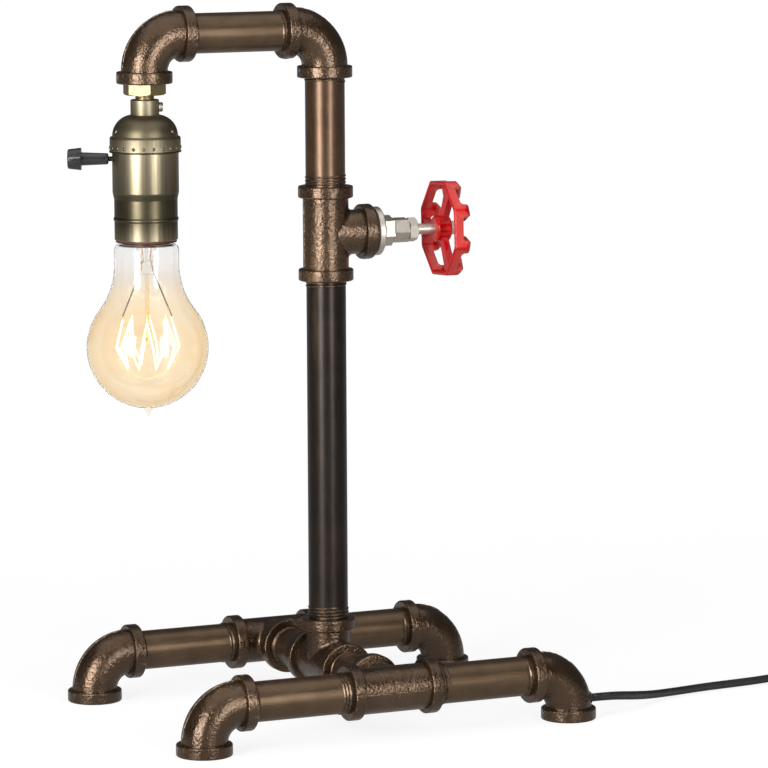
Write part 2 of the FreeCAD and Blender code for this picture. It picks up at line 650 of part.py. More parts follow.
def valve_stem():
    screw, stem, tail = mm.screw_od / 2, mm.stem_od / 2, mm.tail_od / 2
    pin = mm.disc_pin_od / 2
    pin_start = screw_start - mm.disc_len
    screw_end = screw_start + mm.screw_len
    tail_end = hub_back + mm.hub_len + mm.wheel_nut_len
    turned_along("valve_stem", [
        (pin_start, 0.0), (pin_start, pin), (screw_start, pin), (screw_start, screw), (screw_end, screw),
        (screw_end, stem), (hub_back, stem), (hub_back, tail), (tail_end, tail), (tail_end, 0.0),
    ], *VALVE)


def valve_disc():
    end = screw_start - mm.thread_gap
    start = end - mm.disc_len
    hole = mm.disc_pin_od / 2 + mm.stem_gap
    soft = mm.thread_relief
    turned_along("valve_disc", [
        (start, hole), (start, mm.disc_od / 2 - soft), (start + soft, mm.disc_od / 2), (end, mm.disc_od / 2),
        (end, hole),
    ], *VALVE)


def around(sketch, radius, sides, first):
    """A regular polygon by its corner radius, its first corner turned from the sketch's X."""
    count = int(round(sides.value))
    corners = [first + 360.0 / count * i for i in range(count)]
    return outline(sketch, [(radius * cosine(angle), radius * sine(angle)) for angle in corners])


def handwheel():
    """The wheel: a rim with corners, a lobe reaching forward and inward at each, spokes and a hub."""
    along, across = hub_back * cosine(mm.valve_swing), hub_back * sine(mm.valve_swing)
    body = new_body("handwheel", (column_x + along, -across, mm.column_tee_z), *VALVE[1:])
    hub, soft, hole = mm.hub_od / 2, mm.hub_round, mm.tail_od / 2 + mm.thread_gap
    rim_back, rim_front, corner = mm.rim_set, mm.rim_set + mm.rim_len, mm.wheel_od / 2
    first = mm.wheel_turn + 90.0
    rim = new_sketch(body, "YZ_Plane", rim_back)
    around(rim, corner, mm.wheel_lobes, first)
    around(rim, corner - mm.rim_thick, mm.wheel_lobes, first)
    pad(body, rim, mm.lobe_reach)
    round_edges(body, mm.corner_round, lambda edge: edge.BoundBox.XLength > 1e-3)
    round_edges(body, mm.rim_round, lambda edge: rim_edge(edge, rim_back.value))

    wall, bow, front = mm.lobe_wall, mm.lobe_reach - mm.rim_len, rim_back + mm.lobe_reach
    plate = new_sketch(body, "YZ_Plane", front - wall)
    around(plate, corner - mm.rim_thick / 2, mm.wheel_lobes, first)
    pad(body, circle(plate, corner - mm.lobe_tall), wall)
    bend = [
        (front - bow, corner), (front, corner - bow, bow, -1), (front + wall, corner - bow),
        (front + wall, corner + wall), (front - bow, corner + wall),
    ]
    revolve(body, outline(new_sketch(body, "XZ_Plane"), bend), "H_Axis", cut=True)
    half, nose, root = mm.lobe_wide / 2, mm.lobe_round, mm.lobe_root
    side = corner * sine(as_dim(180.0) / mm.wheel_lobes)
    gaps = new_sketch(body, "XY_Plane", swing=mm.wheel_turn)
    for way in (1, -1):
        outline(gaps, [
            (front + wall, (half - nose) * way), (front, (half - nose) * way),
            (front - nose, half * way, nose, way), (rim_front + root, half * way),
            (rim_front, (half + root) * way, root, -way), (rim_front, side * way),
            (front + wall, side * way),
        ])
    pattern(body, pocket(body, gaps, mm.wheel_od, middle=True), "X_Axis", mm.wheel_lobes)

    inner, outer = hub - soft, corner * math.cos(math.pi / mm.wheel_lobes.value) - mm.rim_thick / 2
    spoke = outline(new_sketch(body, "YZ_Plane", rim_back + mm.rim_round), [
        (inner, -mm.spoke_wide / 2), (outer, -mm.spoke_end_wide / 2), (outer, mm.spoke_end_wide / 2),
        (inner, mm.spoke_wide / 2),
    ])
    pattern(body, pad(body, spoke, mm.spoke_thick), "X_Axis", mm.spokes)
    boss = [
        (0.0, 0.0), (0.0, hub - soft), (soft, hub, soft, -1), (mm.hub_len - soft, hub),
        (mm.hub_len, hub - soft, soft, -1), (mm.hub_len, 0.0),
    ]
    revolve(body, outline(new_sketch(body, "XZ_Plane"), boss), "H_Axis")
    pocket(body, circle(new_sketch(body, "YZ_Plane", mm.hub_len), hole), mm.hub_len)


def rim_edge(edge, back):
    """An edge of the rim on its back face."""
    return edge.BoundBox.XLength < 1e-6 and abs(edge.BoundBox.XMin - back) < 1e-6


def wheel_nut():
    start = hub_back + mm.hub_len
    body = new_body("wheel_nut", *VALVE)
    pad(body, hexagon(new_sketch(body, "YZ_Plane", start), mm.wheel_nut_flats), mm.wheel_nut_len)
    bore = circle(new_sketch(body, "YZ_Plane", start + mm.wheel_nut_len), mm.tail_od / 2 + mm.thread_gap)
    pocket(body, bore, mm.wheel_nut_len)


# ---------------------------------------------------------------- lampholder

holder_x = column_x - mm.arm_reach
holder_top = mm.arm_z - mm.fit_reach
bead_low = mm.skirt_tall
bead_high = bead_low + mm.bead_tall
step_low = bead_high + mm.lower_tall
step_high = step_low + mm.step_tall
cap_low = step_high + mm.upper_tall
cap_high = cap_low + mm.cap_tall
hub_low = cap_high + mm.dome_tall
hub_high = hub_low + mm.hub_tall
mouth_z = holder_top - mm.hex_len - mm.neck_show - hub_high
holder_at = (holder_x, 0.0, mouth_z)
HOLDER = (holder_at, -UP, mm.holder_turn)
neck_hole = mm.neck_od / 2 + mm.thread_gap
liner_out = mm.lower_od / 2 - mm.shell_wall - mm.liner_gap
liner_in = liner_out - mm.liner_wall
base_rad = liner_in - mm.base_gap
base_top = mm.base_level + mm.base_tall
shaft_hole = mm.shaft_od / 2 + mm.shaft_gap


def radial_hole(body, radius, level, start, depth):
    """Cuts a hole across a turned piece towards its own -X side."""
    sketch = circle(new_sketch(body, "YZ_Plane", start), radius, 0.0, level)
    pocket(body, sketch, depth)


def hex_bushing():
    at = (holder_x, 0.0, holder_top - mm.hex_len)
    body = new_body("hex_bushing", at, -UP, mm.hex_turn)
    pad(body, hexagon(new_sketch(body, "XY_Plane"), mm.hex_flats, BUSHING_REST), mm.hex_len)
    rad, soft, top = mm.pipe_od / 2, mm.pipe_chamfer, mm.hex_len + mm.thread_grip
    plug = [(0.0, mm.hex_len), (rad - soft, mm.hex_len), (rad, mm.hex_len + soft), (rad, top - soft),
            (rad - soft, top), (0.0, top)]
    revolve(body, outline(new_sketch(body, "XZ_Plane"), plug))
    pocket(body, circle(new_sketch(body, "XY_Plane"), neck_hole), top, back=True)
    corner, shoulder = mm.hex_flats / math.sqrt(3), mm.hex_flats / 2
    slope = (corner - shoulder) / 2
    cone = [(corner, 0.0), (corner, slope), (shoulder, 0.0)]
    revolve(body, outline(new_sketch(body, "XZ_Plane"), cone), cut=True)


def neck_tube():
    low = hub_high - mm.neck_grip
    high = hub_high + mm.neck_show + mm.hex_len + mm.neck_grip
    rad, bore, soft = mm.neck_od / 2, mm.neck_bore / 2, mm.thread_relief
    turned("neck_tube", [
        (bore, low), (rad - soft, low), (rad, low + soft), (rad, high - soft), (rad - soft, high),
        (bore, high),
    ], *HOLDER)


def holder_hub():
    """The hub above the cap: a spigot holds the dome, and the neck tube is screwed in to its stop."""
    rad, soft = mm.hub_dia / 2, mm.thread_relief
    stop = hub_high - mm.neck_grip
    spigot = mm.hub_dia / 2 - mm.cap_wall * 3
    low = hub_low - mm.cap_wall * 2
    body = turned("holder_hub", [
        (mm.neck_bore / 2, low), (spigot, low), (spigot, hub_low), (rad, hub_low), (rad, hub_high - soft),
        (rad - soft, hub_high), (neck_hole, hub_high), (neck_hole, stop), (mm.neck_bore / 2, stop),
    ], *HOLDER)
    level = hub_low + mm.hub_tall / 2
    sketch = circle(new_sketch(body, "YZ_Plane"), mm.set_screw_od / 2 + mm.thread_gap, 0.0, level)
    pocket(body, sketch, rad + mm.thread_relief, back=True)


def hub_set_screw():
    """A slotted screw through the hub's side onto the neck tube."""
    tip, seat = mm.neck_od / 2, mm.hub_dia / 2
    top = seat + mm.set_screw_show
    head, soft = mm.set_screw_head / 2, mm.set_screw_show / 4
    at = (holder_x, 0.0, mouth_z + hub_low + mm.hub_tall / 2)
    body = turned_along("hub_set_screw", [
        (tip, 0.0), (tip, mm.set_screw_od / 2), (seat, mm.set_screw_od / 2), (seat, head), (top - soft, head),
        (top, head - soft), (top, 0.0),
    ], at, -UP, mm.holder_turn)
    slot = new_sketch(body, "YZ_Plane", top)
    half = mm.set_screw_head / 10
    outline(slot, [(-head, -half), (head, -half), (head, half), (-head, half)])
    pocket(body, slot, mm.set_screw_show / 2)


def holder_cap():
    """The pressed cap: dome with a hole for the hub's spigot, and a ring over the shell."""
    rad, wall, dome, soft = mm.cap_od / 2, mm.cap_wall, mm.dome_curve, mm.cap_round
    seat = mm.hub_dia / 2
    hole = seat - wall * 3 + mm.thread_gap
    turned("holder_cap", [
        (hole, hub_low), (seat, hub_low), (rad - soft, cap_high, dome, -1), (rad, cap_high - soft, soft, -1),
        (rad, cap_low), (rad - wall, cap_low), (rad - wall, cap_high - soft),
        (rad - soft, cap_high - wall, soft - wall, 1), (rad - soft - wall, cap_high - wall),
        (seat - wall, hub_low - wall, dome - wall, 1), (hole, hub_low - wall),
    ], *HOLDER)


def holder_shell():
    """The pressed shell with its step and bead, and the slot for the knob's shaft."""
    wall = mm.shell_wall
    lower, bead, upper = mm.lower_od / 2, mm.bead_od / 2, mm.upper_od / 2
    top = cap_low + mm.shell_tuck
    soft = wall
    body = turned("holder_shell", [
        (lower - wall, 0.0), (lower, soft), (lower, bead_low), (bead, bead_low + mm.bead_tall / 3),
        (bead, bead_high - mm.bead_tall / 3), (lower, bead_high), (lower, step_low), (upper, step_high),
        (upper, top), (upper - wall, top), (upper - wall, step_high), (lower - wall, step_low),
    ], *HOLDER)
    radial_hole(body, shaft_hole * 2, mm.knob_level, -liner_in, mm.upper_od / 2)


def holder_liner():
    """The insulating tube inside the shell, seen as a thin edge below it."""
    top = cap_low + mm.shell_tuck
    body = turned("holder_liner", [
        (liner_in, -mm.liner_show), (liner_out, -mm.liner_show), (liner_out, top), (liner_in, top),
    ], *HOLDER)
    radial_hole(body, shaft_hole * 2, mm.knob_level, -base_rad, mm.upper_od / 2)


def switch_base():
    """The moulded base that carries the screw shell, the contacts and the cam."""
    soft = mm.thread_relief * 2
    low, high, rad = mm.base_level, base_top, base_rad
    body = turned("switch_base", [
        (0.0, low), (rad - soft, low), (rad, low + soft), (rad, high - soft), (rad - soft, high), (0.0, high),
    ], *HOLDER)
    chamber = mm.cam_od / 2 + mm.cam_gap
    half = mm.cam_len / 2 + mm.cam_gap
    radial_hole(body, chamber, mm.knob_level, half, half * 2)
    radial_hole(body, shaft_hole, mm.knob_level, 0.0, mm.upper_od / 2)


def screw_shell():
    """The brass shell that the bulb screws into, riveted under the switch base by its flange."""
    inner = mm.cap_dia / 2 + mm.cap_gap
    outer = inner + mm.screw_shell_wall
    low, high = mm.screw_shell_rise, mm.base_level
    lip = mm.cap_dia / 3
    turned("screw_shell", [
        (inner, low), (outer, low), (outer, high), (lip, high), (lip, high - mm.screw_shell_wall),
        (inner, high - mm.screw_shell_wall),
    ], *HOLDER)


def centre_contact():
    """A brass leaf from its foot on the switch base down to the middle, where the bulb's contact rests."""
    low, high, sheet = mm.contact_level, mm.base_level, mm.contact_sheet
    pad_half, knee, foot = mm.contact_wide / 2, mm.contact_wide * 0.9, mm.contact_wide * 1.6
    side = [
        (-pad_half, low), (pad_half, low), (knee, high - sheet), (foot, high - sheet), (foot, high),
        (knee - sheet, high), (pad_half - sheet, low + sheet), (-pad_half, low + sheet),
    ]
    body = new_body("centre_contact", *HOLDER)
    pad(body, outline(new_sketch(body, "XZ_Plane"), side), mm.contact_wide, middle=True)


def terminal_screws():
    for name, side in (("terminal_screw_live", 1.0), ("terminal_screw_neutral", -1.0)):
        reach = mm.terminal_seat * side
        at = (holder_x - reach * sine(mm.holder_turn), -reach * cosine(mm.holder_turn), mouth_z + base_top)
        head, tall = mm.terminal_od / 2, mm.terminal_od / 3
        soft = tall / 4
        body = turned(name, [
            (0.0, 0.0), (head, 0.0), (head, tall - soft), (head - soft, tall), (0.0, tall),
        ], at, -UP, mm.holder_turn)
        half = mm.terminal_od / 12
        slot = new_sketch(body, "XY_Plane", tall)
        outline(slot, [(-head, -half), (head, -half), (head, half), (-head, half)])
        pocket(body, slot, tall / 2)


KNOB = ((holder_x, 0.0, mouth_z + mm.knob_level), -UP, mm.holder_turn)


def switch_cam():
    """The four-lobed cam on the shaft's inner end."""
    body = new_body("switch_cam", *KNOB)
    half = mm.cam_len / 2
    pad(body, circle(new_sketch(body, "YZ_Plane", -half), mm.cam_od / 2), mm.cam_len)
    cutter = mm.cam_od / 6
    notch = pocket(body, circle(new_sketch(body, "YZ_Plane", half), cutter, mm.cam_od / 2), mm.cam_len)
    ring = body.newObject("PartDesign::PolarPattern", "switch_cam_lobes")
    ring.Originals = [notch]
    ring.Axis = (next(f for f in body.Origin.OriginFeatures if f.Role == "X_Axis"), [""])
    ring.Angle, ring.Occurrences = 360.0, 4
    body.Tip = ring
    pocket(body, circle(new_sketch(body, "YZ_Plane", half), mm.shaft_od / 2 + mm.thread_gap), mm.cam_len)


def knob_shaft():
    rad = mm.shaft_od / 2
    inner, outer = mm.cam_len / 2, -(knob_start + mm.shaft_grip)
    turned_along("knob_shaft", [(outer, 0.0), (outer, rad), (inner, rad), (inner, 0.0)], *KNOB)


def switch_knob():
    """The turn knob: a tapered barrel and a flared, fluted head."""
    barrel_out = knob_start + mm.barrel_len
    soft = mm.barrel_end_od / 6
    body = turned_along("switch_knob", [
        (-knob_reach, 0.0), (-knob_reach, mm.knob_end_od / 2 - soft / 2),
        (-knob_reach + soft / 2, mm.knob_end_od / 2), (-barrel_out, mm.knob_od / 2),
        (-barrel_out, mm.barrel_od / 2), (-knob_start - soft, mm.barrel_end_od / 2),
        (-knob_start, mm.barrel_end_od / 2 - soft, soft, -1), (-knob_start, 0.0),
    ], *KNOB)
    flute = new_sketch(body, "YZ_Plane", -barrel_out)
    circle(flute, mm.flute_od / 2, 0.0, mm.knob_od / 2 + mm.flute_od / 6)
    pattern(body, pocket(body, flute, mm.knob_len), "X_Axis", mm.knob_flutes)
    bore = circle(new_sketch(body, "YZ_Plane", -knob_start), mm.shaft_od / 2 + mm.thread_gap)
    pocket(body, bore, mm.shaft_grip + mm.thread_relief)


# ---------------------------------------------------------------- bulb

bulb_tall = mm.glass_tall + mm.bulb_cap_tall + mm.insulator_tall + mm.contact_tall
bulb_z = mouth_z + mm.contact_level - mm.thread_gap - bulb_tall
BULB = ((holder_x, 0.0, bulb_z), -UP, mm.holder_turn)
cap_in = mm.cap_dia / 2 - mm.bulb_cap_wall


def globe_point(globe, neck, flare):
    """Where the globe runs into its flare: the point, and the level of the flare's centre."""
    reach = globe + flare
    rise = root(reach * reach - (neck + flare) * (neck + flare))
    return (neck + flare) * globe / reach, mm.globe_level + rise * globe / reach, mm.globe_level + rise


def bulb_glass():
    """The blown glass with its sealed tip, globe, flare, neck and shoulder, open at the cap."""
    globe, neck, flare, wall = mm.globe_od / 2, mm.glass_neck_od / 2, mm.flare_curve, mm.glass_wall
    shoulder, tip = mm.shoulder_round, mm.tip_od / 2
    meet_r, meet_z, flare_z = globe_point(globe, neck, flare)
    in_r, in_z, _ = globe_point(globe - wall, neck - wall, flare + wall)
    tip_z = mm.globe_level - root(globe * globe - tip * tip)
    throat = cap_in - mm.thread_gap - wall
    top = mm.glass_tall + mm.glass_grip
    turned("bulb_glass", [
        (0.0, 0.0), (tip / 4, 0.0), (tip, tip_z, mm.tip_tall * 2, -1), (globe, mm.globe_level, globe, 1),
        (meet_r, meet_z, globe, 1), (neck, flare_z, flare, -1), (neck, mm.glass_tall - shoulder),
        (neck - shoulder, mm.glass_tall, shoulder, 1), (throat + wall, mm.glass_tall), (throat + wall, top),
        (throat, top), (throat, mm.glass_tall - wall), (neck - shoulder, mm.glass_tall - wall),
        (neck - wall, mm.glass_tall - shoulder, shoulder - wall, -1), (neck - wall, flare_z),
        (in_r, in_z, flare + wall, 1), (globe - wall, mm.globe_level, globe - wall, -1),
        (0.0, mm.globe_level - globe + wall, globe - wall, -1),
    ], *BULB)


def bulb_stem():
    """The glass mount: a flare sealed in the neck, a tube and the pinch that holds the wires."""
    rad, wall = mm.mount_od / 2, mm.glass_wall
    high = mm.glass_tall + mm.glass_grip
    low = mm.glass_tall - mm.mount_tall
    rim = cap_in - mm.thread_gap - wall - mm.thread_gap
    waist = low + mm.mount_tall / 3
    turned("bulb_stem", [
        (0.0, low), (rad * 0.86, low), (rad, waist), (rad, mm.glass_tall), (rim, high - wall), (rim, high),
        (rad - wall, mm.glass_tall + wall), (rad - wall, waist + wall * 2), (0.0, waist),
    ], *BULB)


def bulb_rod():
    """The glass rod under the mount, with the button that carries the filament's hooks."""
    rad, high = mm.rod_od / 2, mm.glass_tall - mm.mount_tall
    low = high - mm.rod_tall
    turned("bulb_rod", [
        (0.0, low), (rad, low), (rad * 1.7, low + rad * 1.4), (rad, low + rad * 2.8), (rad, high),
        (0.0, high),
    ], *BULB)


def bulb_cap():
    rad, wall, low = mm.cap_dia / 2, mm.bulb_cap_wall, mm.glass_tall
    high = low + mm.bulb_cap_tall
    gap = mm.thread_gap
    turned("bulb_cap", [
        (rad - wall, low + gap), (rad, low + gap), (rad, high - wall * 2), (rad - wall * 2, high),
        (rad / 2, high),
        (rad / 2, high - wall), (rad - wall * 2, high - wall), (rad - wall, high - wall * 2),
    ], *BULB)


def bulb_insulator():
    low = mm.glass_tall + mm.bulb_cap_tall
    high = low + mm.insulator_tall
    turned("bulb_insulator", [
        (0.0, low), (mm.cap_dia / 2 - mm.bulb_cap_wall * 2, low), (mm.insulator_end_od / 2, high),
        (0.0, high),
    ], *BULB)


def bulb_contact():
    low = mm.glass_tall + mm.bulb_cap_tall + mm.insulator_tall
    high, rad = low + mm.contact_tall, mm.contact_dia / 2
    turned("bulb_contact", [(0.0, low), (rad, low), (rad - mm.contact_tall, high), (0.0, high)], *BULB)


def wire_along(points, radius):
    """A round wire through points, with mitred corners."""
    path = Part.Wire(Part.makePolygon(points).Edges)
    along = points[1] - points[0]
    section = Part.Wire([Part.makeCircle(radius, points[0], along)])
    shell = Part.BRepOffsetAPI.MakePipeShell(path)
    shell.add(section)
    shell.setTransitionMode(1)
    shell.build()
    shell.makeSolid()
    return shell.shape()


def filament_points():
    """The cage: once round the rod, down and up between the upper and lower points, open at one of them."""
    top, waist, foot = (
        (mm.filament_top_seat.value, mm.filament_top.value),
        (mm.filament_waist_seat.value, mm.filament_waist.value),
        (mm.filament_foot_seat.value, mm.filament_foot.value),
    )
    strands = 2 * int(round(mm.filament_hooks.value))
    step = (360.0 - mm.filament_opening.value) / strands
    start = 180.0 + mm.filament_opening.value / 2
    points = []
    for i in range(strands + 1):
        seat, level = foot if i % 2 else top
        points.append(polar(seat, start + step * i, level))
        if i < strands:
            points.append(polar(waist[0], start + step * (i + 0.5), waist[1]))
    return points


def polar(seat, degrees, level):
    angle = math.radians(degrees)
    return V(seat * math.cos(angle), seat * math.sin(angle), level)


def filament_and_wires():
    points = filament_points()
    shaped("filament", wire_along(points, mm.filament_od.value / 2), *BULB)
    mount = mm.mount_od.value / 2 * 0.86
    high = mm.glass_tall.value - mm.mount_tall.value
    gap = mm.filament_od.value * 3  # the bend's mitre stands up to here
    wires = []
    for end in (points[0], points[len(points) // 2]):
        outward = V(end.x, end.y, 0).normalize()
        start = outward * (mount - mm.wire_od.value) + V(0, 0, high - mm.wire_od.value * 0.3)
        stop = end + V(0, 0, gap)
        along = stop - start
        wires.append(Part.makeCylinder(mm.wire_od.value / 2, along.Length, start, along))
    shaped("support_wires", Part.makeCompound(wires), *BULB)


# ---------------------------------------------------------------- cord

exit_x = column_x + mm.foot_half_x + mm.fit_body_od / 2 + mm.grommet_lip
exit_y = -mm.rail_half_y


def cord_grommet():
    """The rubber bush in the foot elbow's hole."""
    back = mm.fit_body_od / 2
    face = back + mm.grommet_lip
    inner = socket_rad - mm.thread_gap
    bore = mm.cord_wide / 2 + mm.thread_gap
    sleeve = mm.cord_hole / 2 - mm.thread_gap
    turned_along("cord_grommet", [
        (inner, bore), (inner, sleeve), (back, sleeve), (back, mm.grommet_od / 2), (face, mm.grommet_od / 2),
        (face, bore),
    ], (column_x + mm.foot_half_x, exit_y, mm.cord_level))


def cord_tube(label, route):
    """A plain tube along straight runs joined by arcs as large as the two runs allow."""
    points = [V(*p) for p in route]
    radii, edges, last = [], [], points[0]
    for before, corner, after in zip(points, points[1:], points[2:]):
        inward, outward = (before - corner), (after - corner)
        short = min(inward.Length, outward.Length)
        half_turn = (math.pi - inward.getAngle(outward)) / 2
        radius = 0.45 * short / math.tan(half_turn)
        radii.append(radius)
        cut = 0.45 * short
        start, end = corner + inward.normalize() * cut, corner + outward.normalize() * cut
        bisector = (start + end) * 0.5 - corner
        middle = corner + bisector.normalize() * (radius / math.cos(half_turn) - radius)
        edges += [Part.LineSegment(last, start).toShape(), Part.Arc(start, middle, end).toShape()]
        last = end
    edges.append(Part.LineSegment(last, points[-1]).toShape())
    path = Part.Wire(edges)
    section = Part.Wire([Part.makeCircle(mm.cord_wide.value / 2, points[0], points[1] - points[0])])
    tube = path.makePipeShell([section], True, False)
    ideal = math.pi * mm.cord_wide.value ** 2 / 4 * path.Length
    print(f"{label}: length {path.Length:.1f} mm, tightest radius {min(radii):.1f} mm,"
          f" volume {tube.Volume / ideal:.4f} of section times length")
    shaped(label, tube, (exit_x, exit_y, 0.0))


def cord_coil():
    """The outer shape of the wound cord."""
    half_wide = mm.coil_columns * mm.cord_wide / 2
    inner, outer = mm.coil_mean_od / 2 - half_wide, mm.coil_mean_od / 2 + half_wide
    tall, soft = mm.coil_layers * mm.cord_wide, mm.cord_wide / 2
    turned("cord_coil", [
        (inner, soft), (inner + soft, 0.0, soft, 1), (outer - soft, 0.0), (outer, soft, soft, 1),
        (outer, tall - soft), (outer - soft, tall, soft, 1), (inner + soft, tall),
        (inner, tall - soft, soft, 1),
    ], (exit_x + mm.coil_seat_x, exit_y - mm.coil_seat_y, 0.0))


def plug():
    """A flat two-blade plug lying beside the coil, its neck to the cord."""
    x, y, _ = TAIL_ROUTE[-1]
    at = (exit_x + x, exit_y + y, mm.plug_tall / 2)
    half_w, half_t = mm.plug_wide / 2, mm.plug_tall / 2
    neck, soft = mm.plug_neck_len, mm.plug_tall / 3
    body = new_body("plug_body", at)
    section = [
        (-half_w, -half_t + soft), (-half_w + soft, -half_t, soft, 1), (half_w - soft, -half_t),
        (half_w, -half_t + soft, soft, 1), (half_w, half_t - soft), (half_w - soft, half_t, soft, 1),
        (-half_w + soft, half_t), (-half_w, half_t - soft, soft, 1),
    ]
    pad(body, outline(new_sketch(body, "YZ_Plane", neck), section), mm.plug_len)
    cone = [(0.0, 0.0), (0.0, mm.plug_neck_od / 2), (neck, half_t - soft / 4), (neck, 0.0)]
    revolve(body, outline(new_sketch(body, "XZ_Plane"), cone), "H_Axis")
    blades = []
    for name, side in (("left", -0.5), ("right", 0.5)):
        blade = doc.addObject("Part::Box", f"blade_{name}")
        for size, dim in (("Length", mm.blade_len), ("Width", mm.blade_thick), ("Height", mm.blade_tall)):
            setattr(blade, size, dim.value)
            blade.setExpression(size, dim.text)
        place(blade, (neck + mm.plug_len, mm.blade_pitch * side - mm.blade_thick / 2, -mm.blade_tall / 2))
        blades.append(blade)
    pair = doc.addObject("Part::MultiFuse", "plug_blades")
    pair.Label = "plug_blades"
    pair.Shapes = blades
    place(pair, at)
    nodes.append(pair)


def cord():
    cord_grommet()
    cord_tube("cord_lead", LEAD_ROUTE)
    cord_coil()
    cord_tube("cord_tail", TAIL_ROUTE)
    plug()


# ---------------------------------------------------------------- the whole lamp

def build():
    base()
    column_and_arm()
    for make in (valve_bonnet, gland_packing, packing_nut, valve_stem, valve_disc, handwheel, wheel_nut):
        make()
    for make in (hex_bushing, neck_tube, holder_hub, hub_set_screw, holder_cap, holder_shell, holder_liner):
        make()
    for make in (switch_base, screw_shell, centre_contact, terminal_screws, switch_cam, knob_shaft,
                 switch_knob):
        make()
    for make in (bulb_glass, bulb_stem, bulb_rod, bulb_cap, bulb_insulator, bulb_contact,
                 filament_and_wires):
        make()
    cord()
    doc.recompute()


def check():
    """Stops with a list of whatever failed: a state, an empty shape, or a cut that cut nothing."""
    faults = [f"{o.Label}: {o.State}" for o in doc.Objects if "Invalid" in o.State or "Error" in o.State]
    for node in nodes:
        if node.Shape.isNull() or not node.Shape.isValid() or node.Shape.Volume <= 0:
            faults.append(f"{node.Label}: no valid shape")
        if node.TypeId != "PartDesign::Body":
            continue
        if len(node.Shape.Solids) != 1:
            faults.append(f"{node.Label}: {len(node.Shape.Solids)} solids")
        for feature in node.Group:
            if feature.TypeId in ("PartDesign::Pocket", "PartDesign::Groove"):
                if feature.Shape.Volume > feature.BaseFeature.Shape.Volume - 1e-3:
                    faults.append(f"{feature.Label} in {node.Label} cuts nothing")
    if faults:
        raise RuntimeError("\n".join(faults))


def write():
    os.makedirs("parts", exist_ok=True)
    for node in nodes:
        node.Shape.exportStep(f"parts/{node.Label}.step")
    print(f"{len(nodes)} nodes")


build()
check()
write()
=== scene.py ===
"""The look of the industrial pipe table lamp: materials, thread turns, casting seams, cord, light and camera."""
import math
import random

import bpy
from mathutils import Matrix, Vector


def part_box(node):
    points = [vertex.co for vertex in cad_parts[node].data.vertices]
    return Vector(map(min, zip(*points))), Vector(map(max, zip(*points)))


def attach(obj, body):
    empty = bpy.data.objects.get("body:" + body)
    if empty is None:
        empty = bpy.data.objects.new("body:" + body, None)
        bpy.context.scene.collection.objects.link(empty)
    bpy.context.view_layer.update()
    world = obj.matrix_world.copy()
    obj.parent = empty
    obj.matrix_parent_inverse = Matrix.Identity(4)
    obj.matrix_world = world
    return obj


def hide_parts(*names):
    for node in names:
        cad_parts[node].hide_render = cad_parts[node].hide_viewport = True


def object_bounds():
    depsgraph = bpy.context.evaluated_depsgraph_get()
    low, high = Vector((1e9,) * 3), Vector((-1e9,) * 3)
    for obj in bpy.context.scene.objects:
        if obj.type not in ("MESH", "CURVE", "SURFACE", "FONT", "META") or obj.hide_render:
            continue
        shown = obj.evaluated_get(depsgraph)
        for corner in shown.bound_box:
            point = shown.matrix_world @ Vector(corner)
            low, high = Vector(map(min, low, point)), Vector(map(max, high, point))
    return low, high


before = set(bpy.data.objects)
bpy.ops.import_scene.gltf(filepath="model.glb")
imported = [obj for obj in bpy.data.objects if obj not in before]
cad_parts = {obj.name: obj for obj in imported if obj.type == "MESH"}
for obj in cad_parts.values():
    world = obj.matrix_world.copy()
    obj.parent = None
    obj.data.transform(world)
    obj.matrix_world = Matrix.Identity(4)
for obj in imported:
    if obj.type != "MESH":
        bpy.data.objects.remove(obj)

CAD_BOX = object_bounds()
MM = 0.001
random.seed(11)
UP, DOWN = Vector((0, 0, 1)), Vector((0, 0, -1))

# Places and sizes of the CAD model, in millimetres.
COLUMN_X = 11.02  # the column's axis
FOOT, RAIL, RAIL_Z = 105.8, 78.8, 25.5  # feet along X and rails along Y from the column, and their height
TEE_Z, ARM_Z, ARM_REACH = 260.0, 368.9, 103.4  # column tee's and arm's height, column to lampholder
REACH = 25.5  # a fitting's centre to its face
BAND, BAND_LEN, BODY = 14.8, 6.4, 12.3  # a band's radius and length, a fitting's radius between bands
BEND = 19.1  # radius of an elbow's middle line
PIPE = 10.65  # a pipe's radius
HOLDER_X = COLUMN_X - ARM_REACH
MOUTH_Z = 261.2  # the level that the lampholder's and the bulb's heights are counted from
HOLDER_TURN = math.radians(24.7)
VALVE_SWING = math.radians(4.0)
VALVE_ALONG = (math.cos(VALVE_SWING), -math.sin(VALVE_SWING), 0.0)

# The camera: degrees, millimetres from the column's foot, and pixels.
AZIMUTH, ELEVATION, ROLL = -24.689, 7.593, 0.3
CAMERA_BACK, CAMERA_SIDE, CAMERA_UP = 2443.96, 30.79, 176.56
FOCAL_PIXELS, PICTURE_PIXELS, SENSOR = 4494.06, 768, 36.0

# The floor and the light that the room gives.
FLOOR_GREY = 0.22
FLOOR_IN_GLOSS = 0.30  # how bright the floor is in reflections
BACKDROP = (("From Min", 0.2), ("From Max", 1.6), ("To Min", 0.85), ("To Max", 1.0))  # metres to brightness
ROOM_LIGHT, ROOM_SEEN = 0.07, 1.0
LIGHT_DISTANCE, LIGHT_AIM = 1.6, (0.0, 0.0, 0.2)


# ---------------------------------------------------------------- camera

